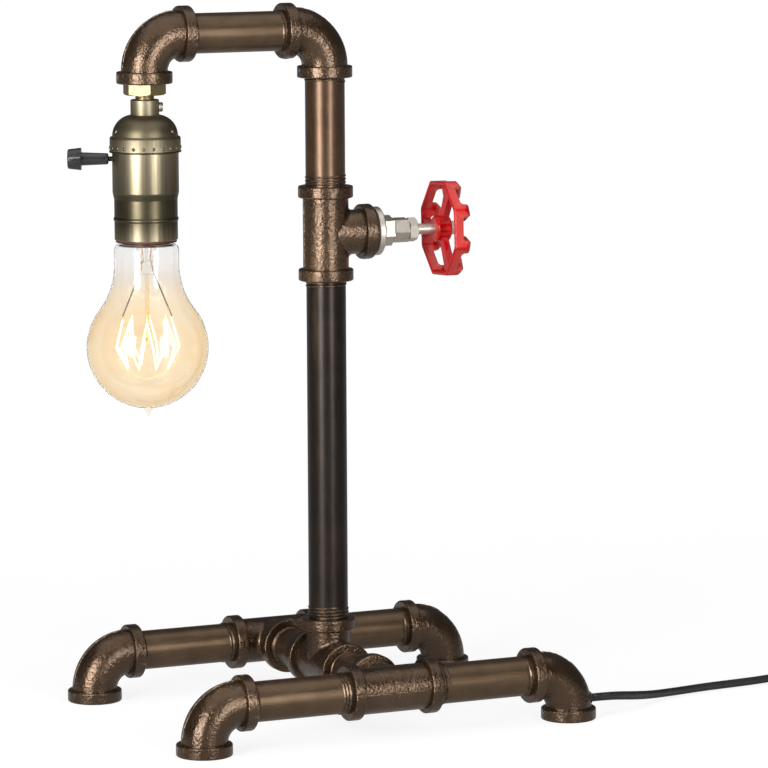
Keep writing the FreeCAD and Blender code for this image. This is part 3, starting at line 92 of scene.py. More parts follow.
def make_camera():
    azimuth, elevation, roll = map(math.radians, (AZIMUTH, ELEVATION, ROLL))
    side = Vector((math.cos(azimuth), math.sin(azimuth), 0.0))
    back = Vector((math.sin(azimuth) * math.cos(elevation), -math.cos(azimuth) * math.cos(elevation),
                   math.sin(elevation)))
    up = back.cross(side)
    right = side * math.cos(roll) - up * math.sin(roll)
    top = side * math.sin(roll) + up * math.cos(roll)
    data = bpy.data.cameras.new("camera")
    data.sensor_width, data.lens = SENSOR, FOCAL_PIXELS / PICTURE_PIXELS * SENSOR
    data.clip_start, data.clip_end = 0.1, 100.0
    camera = bpy.data.objects.new("camera", data)
    bpy.context.scene.collection.objects.link(camera)
    turn = Matrix((right, top, back)).transposed().to_4x4()
    offset = back * CAMERA_BACK + side * CAMERA_SIDE + up * CAMERA_UP
    place = Vector((COLUMN_X * MM, 0.0, 0.0)) + offset * MM
    camera.matrix_world = Matrix.Translation(place) @ turn
    bpy.context.scene.camera = camera


# ---------------------------------------------------------------- shader helpers

class Shader:
    """A material's node tree with short ways to add what these materials share."""

    def __init__(self, name, **values):
        self.material = bpy.data.materials.new(name)
        self.material.use_nodes = True
        self.tree = self.material.node_tree
        self.bsdf = self.tree.nodes["Principled BSDF"]
        for socket, value in values.items():
            self.bsdf.inputs[socket.replace("_", " ")].default_value = value
        self.place = self.add("ShaderNodeTexCoord").outputs["Object"]

    def add(self, kind, **settings):
        node = self.tree.nodes.new(kind)
        for name, value in settings.items():
            setattr(node, name, value)
        return node

    def link(self, source, target):
        self.tree.links.new(source, target)

    def stretched(self, scale):
        node = self.add("ShaderNodeMapping")
        node.inputs["Scale"].default_value = scale
        self.link(self.place, node.inputs["Vector"])
        return node.outputs["Vector"]

    def noise(self, scale, detail=3.0, roughness=0.55, vector=None):
        node = self.add("ShaderNodeTexNoise")
        node.inputs["Scale"].default_value = scale
        node.inputs["Detail"].default_value = detail
        node.inputs["Roughness"].default_value = roughness
        self.link(vector or self.place, node.inputs["Vector"])
        return node.outputs["Fac"]

    def ramp(self, source, stops):
        node = self.add("ShaderNodeValToRGB")
        elements = node.color_ramp.elements
        while len(elements) < len(stops):
            elements.new(0.5)
        for element, (at, colour) in zip(elements, stops):
            element.position = at
            element.color = (*colour, 1.0) if isinstance(colour, tuple) else (colour, colour, colour, 1.0)
        self.link(source, node.inputs["Fac"])
        return node.outputs["Color"]

    def mix(self, factor, first, second, blend="MIX"):
        node = self.add("ShaderNodeMix", data_type="RGBA", blend_type=blend)
        for socket, value in ((node.inputs[0], factor), (node.inputs[6], first), (node.inputs[7], second)):
            if hasattr(value, "is_output"):
                self.link(value, socket)
            elif isinstance(value, tuple):
                socket.default_value = (*value, 1.0)
            else:
                socket.default_value = value
        return node.outputs[2]

    def math(self, operation, first, second=0.5, clamp=False):
        node = self.add("ShaderNodeMath", operation=operation, use_clamp=clamp)
        for socket, value in zip(node.inputs, (first, second)):
            if hasattr(value, "is_output"):
                self.link(value, socket)
            else:
                socket.default_value = value
        return node.outputs[0]

    def bump(self, height, distance, strength=1.0, normal=None):
        node = self.add("ShaderNodeBump")
        node.inputs["Distance"].default_value = distance
        node.inputs["Strength"].default_value = strength
        self.link(height, node.inputs["Height"])
        if normal is not None:
            self.link(normal, node.inputs["Normal"])
        return node.outputs["Normal"]

    def worn_and_glint_edges(self, low=0.52, high=0.60):
        """1 on convex edges, 0 elsewhere: a mask for real wear and for painted edge highlights."""
        geometry = self.add("ShaderNodeNewGeometry")
        return self.ramp(geometry.outputs["Pointiness"], [(low, 0.0), (high, 1.0)])

    def use(self, **sources):
        for socket, source in sources.items():
            self.link(source, self.bsdf.inputs[socket.replace("_", " ")])
        return self.material


# ---------------------------------------------------------------- materials

def cast_bronze():
    """Lacquered malleable castings: a pebbly skin that breaks the light into sparkles, in broad brown clouds, and a
    painted highlight on convex edges and band rims.
    """
    s = Shader("cast_bronze", Metallic=0.85, IOR=1.5, Coat_Weight=0.4, Coat_Roughness=0.10)
    pebbles = s.add("ShaderNodeTexVoronoi", feature="SMOOTH_F1")
    pebbles.inputs["Scale"].default_value = 780
    s.link(s.place, pebbles.inputs["Vector"])
    grit = s.noise(1500, 2.0, 0.6)
    swell = s.noise(260, 2.0, 0.5)
    clouds = s.noise(34, 3.0, 0.6)
    browns = [(0.3, (0.088, 0.050, 0.028)), (0.52, (0.118, 0.070, 0.039)), (0.74, (0.155, 0.096, 0.055))]
    tint = s.ramp(clouds, browns)
    tint = s.mix(0.5, tint, s.ramp(grit, [(0.36, 0.5), (0.56, 1.0)]), "MULTIPLY")
    # Painted highlight: convex edges and band rims are lightened to stand for their thin bright glints.
    tint = s.mix(s.worn_and_glint_edges(0.53, 0.62), tint, (0.34, 0.25, 0.16))
    height = s.math("ADD", s.math("MULTIPLY", pebbles.outputs["Distance"], -0.7), s.math("MULTIPLY", grit, 0.6))
    height = s.math("ADD", height, s.math("MULTIPLY", swell, 1.2))
    normal = s.bump(height, 0.00022, 1.0)
    s.link(normal, s.bsdf.inputs["Coat Normal"])
    rough = s.ramp(s.noise(160, 2.0), [(0.3, 0.20), (0.7, 0.34)])
    return s.use(Base_Color=tint, Roughness=rough, Normal=normal)


def drawn_pipe(name, along, dark, light):
    """Lacquered pipe: long faint draw marks along its axis, a few darker stains."""
    rough = 0.34
    s = Shader(name, Metallic=0.8, IOR=1.5, Coat_Weight=0.2, Coat_Roughness=0.25)
    stretch = tuple(0.06 if axis == along else 1.0 for axis in "XYZ")
    marks = s.noise(900, 3.0, 0.6, vector=s.stretched(stretch))
    stains = s.noise(60, 4.0, 0.65)
    tint = s.ramp(stains, [(0.3, dark), (0.7, light)])
    tint = s.mix(0.22, tint, s.ramp(marks, [(0.35, 0.45), (0.65, 1.0)]), "MULTIPLY")
    roughness = s.ramp(marks, [(0.3, rough - 0.05), (0.7, rough + 0.06)])
    return s.use(Base_Color=tint, Roughness=roughness, Normal=s.bump(marks, 0.00003, 0.5))


def thread_metal():
    """Cut thread turns, their brown mottled dark and lighter at random."""
    s = Shader("thread_metal", Metallic=0.9, Roughness=0.32)
    worn = s.noise(700, 3.0)
    tint = s.ramp(worn, [(0.35, (0.055, 0.036, 0.024)), (0.72, (0.22, 0.155, 0.10))])
    return s.use(Base_Color=tint, Normal=s.bump(s.noise(2000), 0.00003))


def bronzed_brass(name, dark, light, rough):
    """Satin bronzed brass of the lampholder, with fine vertical brushing and a few specks."""
    s = Shader(name, Metallic=1.0)
    brush = s.noise(1500, 2.0, 0.6, vector=s.stretched((1.0, 1.0, 0.04)))
    clouds = s.noise(70, 3.0, 0.6)
    specks = s.noise(2200, 1.0)
    tint = s.ramp(clouds, [(0.3, dark), (0.7, light)])
    tint = s.mix(s.ramp(specks, [(0.72, 0.0), (0.80, 1.0)]), tint, (0.06, 0.045, 0.025))
    tint = s.mix(s.worn_and_glint_edges(), tint, (0.36, 0.31, 0.21))
    roughness = s.ramp(brush, [(0.3, rough - 0.02), (0.7, rough + 0.03)])
    return s.use(Base_Color=tint, Roughness=roughness, Normal=s.bump(brush, 0.00002, 0.4))


def bright_metal(name, first, second, rough):
    """Machined and polished metal: turning lines and faint stains."""
    s = Shader(name, Metallic=1.0)
    lines = s.noise(2600, 2.0, 0.5)
    stains = s.noise(180, 3.0, 0.6)
    tint = s.ramp(stains, [(0.3, first), (0.7, second)])
    roughness = s.ramp(lines, [(0.3, rough * 0.75), (0.7, rough * 1.35)])
    return s.use(Base_Color=tint, Roughness=roughness, Normal=s.bump(lines, 0.00003, 0.5))


def cap_brass():
    """The bulb's thin brass cap, darkened towards the glass with painted shade that stands for the shadow under the
    lampholder's mouth.
    """
    s = Shader("cap_brass", Metallic=1.0)
    height = s.add("ShaderNodeSeparateXYZ")
    s.link(s.place, height.inputs[0])
    below = s.math("SUBTRACT", (MOUTH_Z + 2.0) * MM, height.outputs["Z"])
    # Painted shade: dark from 2 mm above the mouth's level, fully dark 3.3 mm lower.
    cap_painted_shade = s.math("MULTIPLY", below, 300.0, clamp=True)  # fully dark 3.3 mm lower
    stains = s.noise(180, 3.0, 0.6)
    tint = s.ramp(stains, [(0.3, (0.50, 0.38, 0.18)), (0.7, (0.66, 0.50, 0.26))])
    tint = s.mix(cap_painted_shade, tint, (0.035, 0.022, 0.012))
    roughness = s.ramp(stains, [(0.3, 0.28), (0.7, 0.44)])
    return s.use(Base_Color=tint, Roughness=roughness, Normal=s.bump(s.noise(2600, 2.0), 0.00003, 0.5))


def red_enamel():
    """Thick red paint over a casting: soft edges, soft waves, and a pale pink painted highlight on its sharpest
    edges.
    """
    s = Shader("red_enamel", IOR=1.45, Specular_IOR_Level=0.2, Coat_Weight=0.6, Coat_Roughness=0.03)
    waves = s.noise(170, 2.0, 0.5)
    fine = s.noise(1200, 2.0)
    tint = s.ramp(s.noise(110, 3.0), [(0.3, (0.48, 0.0, 0.001)), (0.7, (0.66, 0.0, 0.002))])
    # Painted highlight: the sharpest edges turn pale pink, standing for glints.
    tint = s.mix(s.worn_and_glint_edges(0.54, 0.66), tint, (0.75, 0.13, 0.10))
    height = s.math("ADD", waves, s.math("MULTIPLY", fine, 0.15))
    soft = s.add("ShaderNodeBevel", samples=6)
    soft.inputs["Radius"].default_value = 0.0009
    normal = s.bump(height, 0.00014, 0.6, normal=soft.outputs["Normal"])
    s.link(normal, s.bsdf.inputs["Coat Normal"])
    return s.use(Base_Color=tint, Roughness=s.ramp(fine, [(0.3, 0.24), (0.7, 0.34)]), Normal=normal)


def moulded(name, first, second, rough, grain=900, depth=0.00004, coat=0.0):
    """Moulded plastic, rubber or fibre: fine grain, faint mottling."""
    s = Shader(name, IOR=1.5, Coat_Weight=coat, Coat_Roughness=0.12)
    fine = s.noise(grain, 3.0, 0.6)
    tint = s.ramp(s.noise(150, 3.0), [(0.3, first), (0.7, second)])
    roughness = s.ramp(fine, [(0.3, rough * 0.8), (0.7, rough * 1.25)])
    return s.use(Base_Color=tint, Roughness=roughness, Normal=s.bump(fine, depth, 0.6))


def blown_glass(name, clear, deep, ior=1.3, gloss=0.0, painted_glow_at=None):
    """Tinted blown glass: deeper at its rims, clear towards the cap, faint waves, and a painted glow: a faint warm
    halo that the glass itself emits round a given point.
    """
    s = Shader(name, Transmission_Weight=1.0, Roughness=0.0, IOR=ior, Coat_Roughness=0.10)
    facing = s.add("ShaderNodeLayerWeight")
    facing.inputs["Blend"].default_value = 0.5
    height = s.add("ShaderNodeSeparateXYZ")
    s.link(s.place, height.inputs[0])
    start, fade = 0.205, 0.05  # the level above which the tint fades, and over how much height, in metres
    level = s.math("MULTIPLY", s.math("SUBTRACT", height.outputs["Z"], start), 1 / fade, clamp=True)
    amber = s.mix(s.ramp(facing.outputs["Facing"], [(0.35, 0.0), (0.92, 1.0)]), clear, deep)
    cloud = s.ramp(s.noise(38, 3.0, 0.6), [(0.36, (1.0, 0.93, 0.84)), (0.62, (1.0, 1.0, 1.0))])
    clouded = s.mix(1.0, amber, cloud, "MULTIPLY")
    tint = s.mix(s.ramp(level, [(0.35, 0.0), (0.9, 1.0)]), clouded, (0.93, 0.92, 0.91))
    waves = s.noise(70, 2.0, 0.5)
    shine = s.ramp(facing.outputs["Facing"], [(0.5, gloss), (0.9, 0.0)])
    s.use(Base_Color=tint, Coat_Weight=shine, Normal=s.bump(waves, 0.00035, 0.4))
    # Painted glow: the glass emits a faint warm halo round the given point, though the filament is the only lamp.
    if painted_glow_at is not None:
        centre = s.add("ShaderNodeVectorMath", operation="DISTANCE")
        s.link(s.place, centre.inputs[0])
        centre.inputs[1].default_value = painted_glow_at
        glow = s.ramp(s.math("MULTIPLY", centre.outputs["Value"], 10.0),
                      [(0.29, (1.0, 0.90, 0.66)), (0.40, (0.0, 0.0, 0.0))])
        s.link(glow, s.bsdf.inputs["Emission Color"])
        s.bsdf.inputs["Emission Strength"].default_value = 0.05
    return s.material


def hot_wire():
    """The lit carbon filament, its warm glow mottled in colour."""
    s = Shader("hot_wire", Roughness=0.6, Emission_Strength=6.0)
    glow = s.ramp(s.noise(400, 2.0), [(0.3, (1.0, 0.70, 0.34)), (0.7, (1.0, 0.86, 0.55))])
    return s.use(Emission_Color=glow, Base_Color=glow)


# ---------------------------------------------------------------- meshes

def new_object(name, verts, faces, material, body, slot, smooth=True):
    mesh = bpy.data.meshes.new(name)
    mesh.from_pydata([tuple(v) for v in verts], [], faces)
    mesh.update()
    for polygon in mesh.polygons:
        polygon.use_smooth = smooth
    mesh.materials.append(material)
    piece = bpy.data.objects.new(name, mesh)
    bpy.context.scene.collection.objects.link(piece)
    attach(piece, body)
    return piece


def frame_of(axis):
    """Two directions across an axis."""
    across = axis.cross(UP)
    if across.length < 0.1:
        across = axis.cross(Vector((0, 1, 0)))
    across.normalize()
    return across, axis.cross(across).normalized()


def strip(rings, caps=True):
    """Faces that join closed rows of points of equal number, with a cap at each end."""
    count = len(rings[0])
    verts = [v for ring in rings for v in ring]
    faces = []
    for i in range(len(rings) - 1):
        for j in range(count):
            k = (j + 1) % count
            faces.append((i * count + j, i * count + k, (i + 1) * count + k, (i + 1) * count + j))
    if caps:
        faces.append(tuple(range(count))[::-1])
        faces.append(tuple((len(rings) - 1) * count + j for j in range(count)))
    return verts, faces


def helix_ridge(start, axis, radius, pitch, turns, height, first=0.0):
    """One raised thread turn after another round an axis, running out at both ends."""
    steps_per_turn, sunk, foot, crest_share = 56, 0.12, 0.42, 0.22
    axis = axis.normalized()
    across, other = frame_of(axis)
    steps = int(turns * steps_per_turn)
    rings = []
    for i in range(steps + 1):
        share = i / steps
        angle = first + share * turns * 2 * math.pi
        out = across * math.cos(angle) + other * math.sin(angle)
        fade = min(1.0, share * turns * 5, (1 - share) * turns * 5)
        crest = height * max(fade, 0.02)
        middle = start + axis * (pitch * turns * share)
        half = pitch * foot
        rings.append([
            (middle + out * (radius - sunk) - axis * half) * MM,
            (middle + out * (radius + crest) - axis * half * crest_share) * MM,
            (middle + out * (radius + crest) + axis * half * crest_share) * MM,
            (middle + out * (radius - sunk) + axis * half) * MM,
        ])
    return strip(rings)


def wandering_tube(points, radius, seed):
    """A thin rough ridge along points: its radius and place wander a little."""
    wander, sides, drift = random.Random(seed), 7, 0.16
    rings = []
    for i, point in enumerate(points):
        ahead = points[min(i + 1, len(points) - 1)] - points[max(i - 1, 0)]
        across, other = frame_of(ahead.normalized())
        ends = min(1.0, 0.25 + i * 0.4, 0.25 + (len(points) - 1 - i) * 0.4)
        size = radius * wander.uniform(0.65, 1.35) * ends
        shift = across * wander.uniform(-drift, drift) + other * wander.uniform(-drift, drift)
        rings.append([
            (point + shift + (across * math.cos(a) + other * math.sin(a)) * size) * MM
            for a in (2 * math.pi * k / sides for k in range(sides))
        ])
    return strip(rings)


def joined(name, parts, material, body, slot, smooth=True):
    """One object from several lists of points and faces."""
    verts, faces = [], []
    for more_verts, more_faces in parts:
        base = len(verts)
        verts += more_verts
        faces += [tuple(base + i for i in face) for face in more_faces]
    return new_object(name, verts, faces, material, body, slot, smooth)


# ---------------------------------------------------------------- thread turns at the pipes' ends

def pipe_threads(material, bright):
    """Turns left outside each fitting, as the pipes came out of the die."""
    pitch, height, clear = 1.81, 0.42, 0.5
    x, base = COLUMN_X, RAIL_Z
    along, back = Vector((1, 0, 0)), Vector((-1, 0, 0))
    away, near = Vector((0, 1, 0)), Vector((0, -1, 0))
    # each fitting's face, the way the pipe leaves it, its turns and where the first one starts
    ends = [
        ((x, 0, base + REACH), UP, 3.2, 0.5),
        ((x, 0, TEE_Z - REACH), DOWN, 1.7, 2.2),
        ((x, 0, TEE_Z + REACH), UP, 3.1, 4.4),
        ((x, 0, ARM_Z - REACH), DOWN, 1.1, 1.0),
        ((x - REACH, 0, ARM_Z), back, 1.2, 3.0),
        ((x - ARM_REACH + REACH, 0, ARM_Z), along, 1.1, 5.0),
        ((x, -REACH, base), near, 1.4, 2.0),
        ((x, -RAIL + REACH, base), away, 1.6, 0.3),
        ((x, REACH, base), away, 1.5, 1.3),
        ((x, RAIL - REACH, base), near, 1.7, 2.9),
    ]
    for y, left, right in ((-RAIL, 3.2, 2.6), (RAIL, 2.3, 2.6)):
        ends += [
            ((x - REACH, y, base), back, left, 0.7),
            ((x + REACH, y, base), along, right, 2.6),
            ((x - FOOT + REACH, y, base), along, 1.2, 3.8),
            ((x + FOOT - REACH, y, base), back, 1.8, 5.2),
        ]
    parts = [helix_ridge(Vector(at) + axis * clear, axis, PIPE, pitch, turns, height, first)
             for at, axis, turns, first in ends]
    joined("pipe_thread_turns", parts, material, "frame", "brown_pipe", smooth=False)
    neck = Vector((HOLDER_X, 0, MOUTH_Z + 74.0))
    joined("neck_thread_turns", [helix_ridge(neck + UP * 0.1, UP, 4.8, 0.94, 2.2, 0.22, 1.0)], bright,
           "frame", "polished_brass", smooth=False)


def rolled_thread(low, high, bent, steps, edge, lip, first, depth):
    """Thin sheet rolled into a screw thread round the holder's axis, turned in to a lip at its top.

    The wall stands from low in steps rows and stops bent below high, the top of the lip. edge is the
    sheet's outer radius at its crests and depth how far the roots lie inside them; the thread starts
    at level first, and lip is the radius of the opening.
    """
    pitch, wall, sides = 3.63, 0.4, 72
    levels = [low + (high - bent - low) * i / steps for i in range(steps + 1)]

    def row(level, radius, rolled=1.0):
        fade = min(1.0, max(0.0, level - first) * 0.7) * rolled
        points = []
        for k in range(sides):
            angle = 2 * math.pi * k / sides
            wave = 0.5 - 0.5 * math.cos(2 * math.pi * (level - MOUTH_Z) / pitch - angle)
            out = radius - depth * fade * wave
            points.append(Vector((HOLDER_X + out * math.cos(angle), out * math.sin(angle), level)) * MM)
        return points

    outer = [row(level, edge) for level in levels]
    top = [row(high, edge - depth * 0.8, 0.0), row(high, lip, 0.0), row(high - wall, lip, 0.0)]
    inner = [row(min(level, high - wall), edge - wall) for level in reversed(levels)]
    return strip([*outer, *top, *inner, outer[0]], caps=False)


def height_and_radius(low, high):
    """A round upright node's lowest and highest level and its radius, in millimetres, from its box."""
    return low.z / MM, high.z / MM, (high.x - low.x) / 2 / MM


def screw_threads(brass, cap_painted_shade, nickel):
    """The bulb's cap and the shell it screws into, with rolled threads, and the stem's screw."""
    low, high, radius = height_and_radius(*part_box("bulb_cap"))
    rolled = rolled_thread(low, high, 0.8, 84, radius, radius / 2, low + 8.2, 1.0)
    cap = joined("threaded_cap", [rolled], cap_painted_shade, "bulb", "sheet_brass")
    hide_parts("bulb_cap")
    low, high, radius = height_and_radius(*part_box("screw_shell"))
    rolled = rolled_thread(low, high, 0.5, 100, radius + 0.9, radius * 0.63, low, 0.9)
    shell = joined("threaded_shell", [rolled], brass, "frame", "sheet_brass")
    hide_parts("screw_shell")
    along, pitch, turns = Vector(VALVE_ALONG), 1.5, 7.2
    start = Vector((COLUMN_X, 0, TEE_Z)) + along * 12.6
    joined("stem_screw_turns", [helix_ridge(start, along, 4.5, pitch, turns, 0.07)], nickel, "valve_wheel",
           "nickel", smooth=False)


# ---------------------------------------------------------------- casting seams

def arc_points(centre, radius, flip, y):
    """Points of an elbow's quarter arc in the X-Z plane; flip is -1 where its level leg points to -X."""
    count, first, last = 26, 0.02, math.pi / 2 - 0.02
    angles = [first + (last - first) * i / count for i in range(count + 1)]
    return [Vector((centre.x - flip * radius * math.cos(a), y, centre.z + radius * math.sin(a))) for a in angles]


def run_points(start, end):
    """Points of a straight run, about 1.3 mm apart."""
    count = max(2, int((end - start).length / 1.3))
    return [start.lerp(end, i / count) for i in range(count + 1)]


def casting_seams(material):
    """The rough parting line of each casting: round an elbow's back and belly, and along a tee."""
    x, clear, run_long = COLUMN_X, 0.8, 4.8
    arc_size, leg_size, run_size, band_size, root_size = 0.34, 0.26, 0.30, 0.24, 0.28
    seams = []  # points and size; each seam's own seed follows from its place in this list
    elbows = [(x - FOOT, RAIL_Z, -RAIL, 1), (x - FOOT, RAIL_Z, RAIL, 1), (x + FOOT, RAIL_Z, -RAIL, -1),
              (x + FOOT, RAIL_Z, RAIL, -1), (x, ARM_Z, 0.0, -1), (x - ARM_REACH, ARM_Z, 0.0, 1)]
    for ex, ez, ey, flip in elbows:
        centre = Vector((ex + flip * BEND, ey, ez - BEND))
        for radius in (BEND + BODY, BEND - BODY):
            seams.append((arc_points(centre, radius, flip, ey), arc_size))
        for side in (1, -1):
            low = Vector((ex - flip * side * BAND, ey, ez - REACH))
            seams.append((run_points(low + UP * clear, low + UP * (clear + run_long)), leg_size))
            end, inward = Vector((ex + flip * REACH, ey, ez + side * BAND)), Vector((-flip, 0, 0))
            seams.append((run_points(end + inward * clear, end + inward * (clear + run_long)), leg_size))
    tees = [((x, -RAIL, RAIL_Z), (1, 0, 0), (0, 1, 0)), ((x, RAIL, RAIL_Z), (1, 0, 0), (0, -1, 0)),
            ((x, 0, RAIL_Z), (0, 1, 0), (0, 0, 1)), ((x, 0, TEE_Z), (0, 0, 1), VALVE_ALONG)]
    for at, run, branch in tees:
        at, run, branch = Vector(at), Vector(run), Vector(branch)
        inner = REACH - BAND_LEN - 0.2
        seams.append((run_points(at - branch * BODY - run * inner, at - branch * BODY + run * inner), run_size))
        for side in (1, -1):
            for across in (-branch * BAND, branch * BAND):
                start = at + across + run * side * (REACH - clear)
                seams.append((run_points(start, start - run * side * run_long), band_size))
            root = at + branch * 14.4 + run * side * 12.0
            seams.append((run_points(root, at + branch * inner + run * side * 12.0), root_size))
            start = at + branch * (REACH - clear) + run * side * BAND
            seams.append((run_points(start, start - branch * run_long), band_size))
    parts = [wandering_tube(points, size, seed) for seed, (points, size) in enumerate(seams, 100)]
    low, high = CAD_BOX
    parts = [([Vector(map(max, low, map(min, high, v))) for v in verts], faces) for verts, faces in parts]
    joined("casting_seams", parts, material, "frame", "bronze_fitting")


# ---------------------------------------------------------------- lampholder's pressed details

def dome_bump(centre, normal, radius, height):
    """A small dome on a wall, its foot sunk a little into it."""
    rings, sides, sunk = 4, 14, 0.15
    across, other = frame_of(normal)
    rows = []
    for i in range(rings + 1):
        lean = i / rings * math.pi / 2
        size, rise = radius * math.cos(lean), height * math.sin(lean) - sunk
        rows.append([(centre + normal * rise + (across * math.cos(a) + other * math.sin(a)) * max(size, 0.01)) * MM
                     for a in (2 * math.pi * k / sides for k in range(sides))])
    return strip(rows)


def holder_details(material):
    """The row of pressed dots round the cap's ring, its rolled lower edge, and the rivets on the dome."""
    parts = []
    ring_low, ring, count = MOUTH_Z + 46.3, 18.7, 22
    around, section = 96, 10  # sides of the rolled edge's ring and of its wire
    for i in range(count):
        angle = HOLDER_TURN + 2 * math.pi * (i + 0.5) / count
        out = Vector((math.cos(angle), math.sin(angle), 0))
        centre = Vector((HOLDER_X, 0, ring_low + 2.6)) + out * ring
        parts.append(dome_bump(centre, out, 1.0, 0.65))
    rows = []
    for i in range(around + 1):
        angle = 2 * math.pi * i / around
        out = Vector((math.cos(angle), math.sin(angle), 0))
        middle = Vector((HOLDER_X, 0, ring_low + 0.45)) + out * (ring - 0.15)
        rows.append([(middle + (out * math.cos(a) + UP * math.sin(a)) * 0.5) * MM
                     for a in (2 * math.pi * k / section for k in range(section))])
    parts.append(strip(rows, caps=False))
    joined("cap_pressings", parts, material, "frame", "bronzed_brass")
    rivets = []
    beside, knob_way = Vector((math.cos(-0.431), math.sin(-0.431), 0)), Vector((-0.418, -0.908, 0))
    for turn in (-1.0, 1.0):
        flat = (beside * turn + knob_way * 0.55).normalized()
        normal = (flat * 0.93 + Vector((0, 0, 0.37))).normalized()
        centre = Vector((HOLDER_X, 0, MOUTH_Z + 57.6)) + flat * 17.0
        rivets.append(dome_bump(centre, normal, 1.35, 1.0))
    joined("cap_rivets", rivets, material, "frame", "bronzed_brass")


# ---------------------------------------------------------------- bulb's leads

def bulb_leads(material):
    """The two leads that come down through the glass mount to the pinch, and their welds in it."""
    parts, lead_size, weld_size = [], 0.26, 0.42
    for turn in (0.0, math.pi):
        out = Vector((math.cos(turn - HOLDER_TURN), math.sin(turn - HOLDER_TURN), 0))
        foot = Vector((HOLDER_X, 0, MOUTH_Z - 17.0)) + out * 2.6
        path = [foot, foot + Vector((0, 0, 4.5)) - out * 0.4, foot + Vector((0, 0, 6.0)) - out * 0.9,
                foot + Vector((0, 0, 14.0)) - out * 0.2]
        points = [p.lerp(q, i / 6) for p, q in zip(path, path[1:]) for i in range(6)] + [path[-1]]
        parts.append(wandering_tube(points, lead_size, 7 + int(turn)))
        weld = [foot + Vector((0, 0, 5.0)) - out * 1.6 * i / 5 for i in range(6)]
        parts.append(wandering_tube(weld, weld_size, 17 + int(turn)))
    joined("bulb_leads", parts, material, "bulb", "wire_steel")


# ---------------------------------------------------------------- cord

# The route's points are in millimetres from the place where the cord leaves its foot.
EXIT = Vector((COLUMN_X + FOOT + BODY + 0.5, -RAIL, 0.0))
LEAD = [
    (0.0, 0.0, 10.05), (13.6, 0.0, 10.05), (28.6, 5.3, 7.7), (45.6, 16.3, 4.5), (64.6, 25.0, 2.95),
    (86.6, 29.5, 2.85), (108.6, 31.4, 2.85), (128.6, 32.8, 3.15), (145.6, 32.4, 4.9), (160.6, 33.1, 8.1),
]
TAIL = [(184.6, 32.8, 3.0), (194.6, 33.3, 5.5), (203.6, 33.3, 5.5)]
CORD = 5.6  # how far the coil's turns and layers lie apart
COIL_X, COIL_Y, COIL_RADIUS = 173.6, -7.7, 40.4  # the coil's centre and its outer turn
COIL_WIDER = 1.008  # the smooth curve runs inside its points


def coil_points():
    """Eight turns: four inward on top, then four outward beneath, each stepping over in its last sixth."""
    per_turn, upper, lower, points = 16, 8.4, 2.8, []
    for i in range(8 * per_turn + 1):
        turn, share = divmod(i / per_turn, 1.0)
        step = max(0.0, (share - 5 / 6) * 6)
        if turn < 4:
            place = min(turn + step, 3.0)
            height = upper - CORD * (max(0.0, (share - 0.75) * 4) if turn == 3 else 0.0)
        else:
            place = max(7.0 - turn - step, 0.0)
            height = lower
        radius = (COIL_RADIUS - CORD * place) * COIL_WIDER
        angle = math.pi / 2 - 2 * math.pi * i / per_turn
        points.append((COIL_X + radius * math.cos(angle), COIL_Y + radius * math.sin(angle), height))
    return points


def flat_twin_outline():
    """The cord's section: two round cores side by side with a groove between them."""
    half, core, outline = 1.35, 1.45, []
    for centre, first, last in ((half, -130, 130), (-half, 50, 310)):
        for i in range(13):
            angle = math.radians(first + (last - first) * i / 12)
            outline.append((centre + core * math.cos(angle), core * math.sin(angle)))
    return outline


def smooth_route(points):
    """The points of the smooth curve that the route's points steer."""
    data = bpy.data.curves.new("cord_route", "CURVE")
    data.dimensions = "3D"
    data.resolution_u = 8
    spline = data.splines.new("NURBS")
    spline.points.add(len(points) - 1)
    for target, point in zip(spline.points, points):
        target.co = (*point, 1.0)
    spline.order_u = 3
    spline.use_endpoint_u = True
    route = bpy.data.objects.new("cord_route", data)
    line = bpy.data.meshes.new_from_object(route)
    path = [vertex.co.copy() for vertex in line.vertices]
    bpy.data.objects.remove(route)
    bpy.data.meshes.remove(line)
    return path


def make_cord(material):
    """The flat twin cord, leaning on one of its cores all along its route."""
    path = smooth_route([(EXIT + Vector(p)) * MM for p in LEAD + coil_points() + TAIL])
    lean = Matrix.Rotation(math.radians(48), 2)
    outline = [lean @ Vector(place) * MM for place in flat_twin_outline()]
    rings = []
    for i, point in enumerate(path):
        ahead = (path[min(i + 1, len(path) - 1)] - path[max(i - 1, 0)]).normalized()
        across = ahead.cross(UP).normalized()
        above = across.cross(ahead)
        rings.append([point + across * place.x + above * place.y for place in outline])
    cord = new_object("mains_cord", *strip(rings), material, "frame", "cord_black")
    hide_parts("cord_lead", "cord_coil", "cord_tail")


# ---------------------------------------------------------------- floor and light

def seen_directly(tree):
    """1 for what the camera sees, straight or through glass."""
    path = tree.nodes.new("ShaderNodeLightPath")
    seen = tree.nodes.new("ShaderNodeMath")
    seen.operation = "MAXIMUM"
    tree.links.new(path.outputs["Is Camera Ray"], seen.inputs[0])
    tree.links.new(path.outputs["Is Transmission Ray"], seen.inputs[1])
    return seen.outputs[0], path


def level_for(tree, factor, low, high):
    level = tree.nodes.new("ShaderNodeMapRange")
    level.inputs["To Min"].default_value = low
    level.inputs["To Max"].default_value = high
    tree.links.new(factor, level.inputs["Value"])
    return level.outputs["Result"]


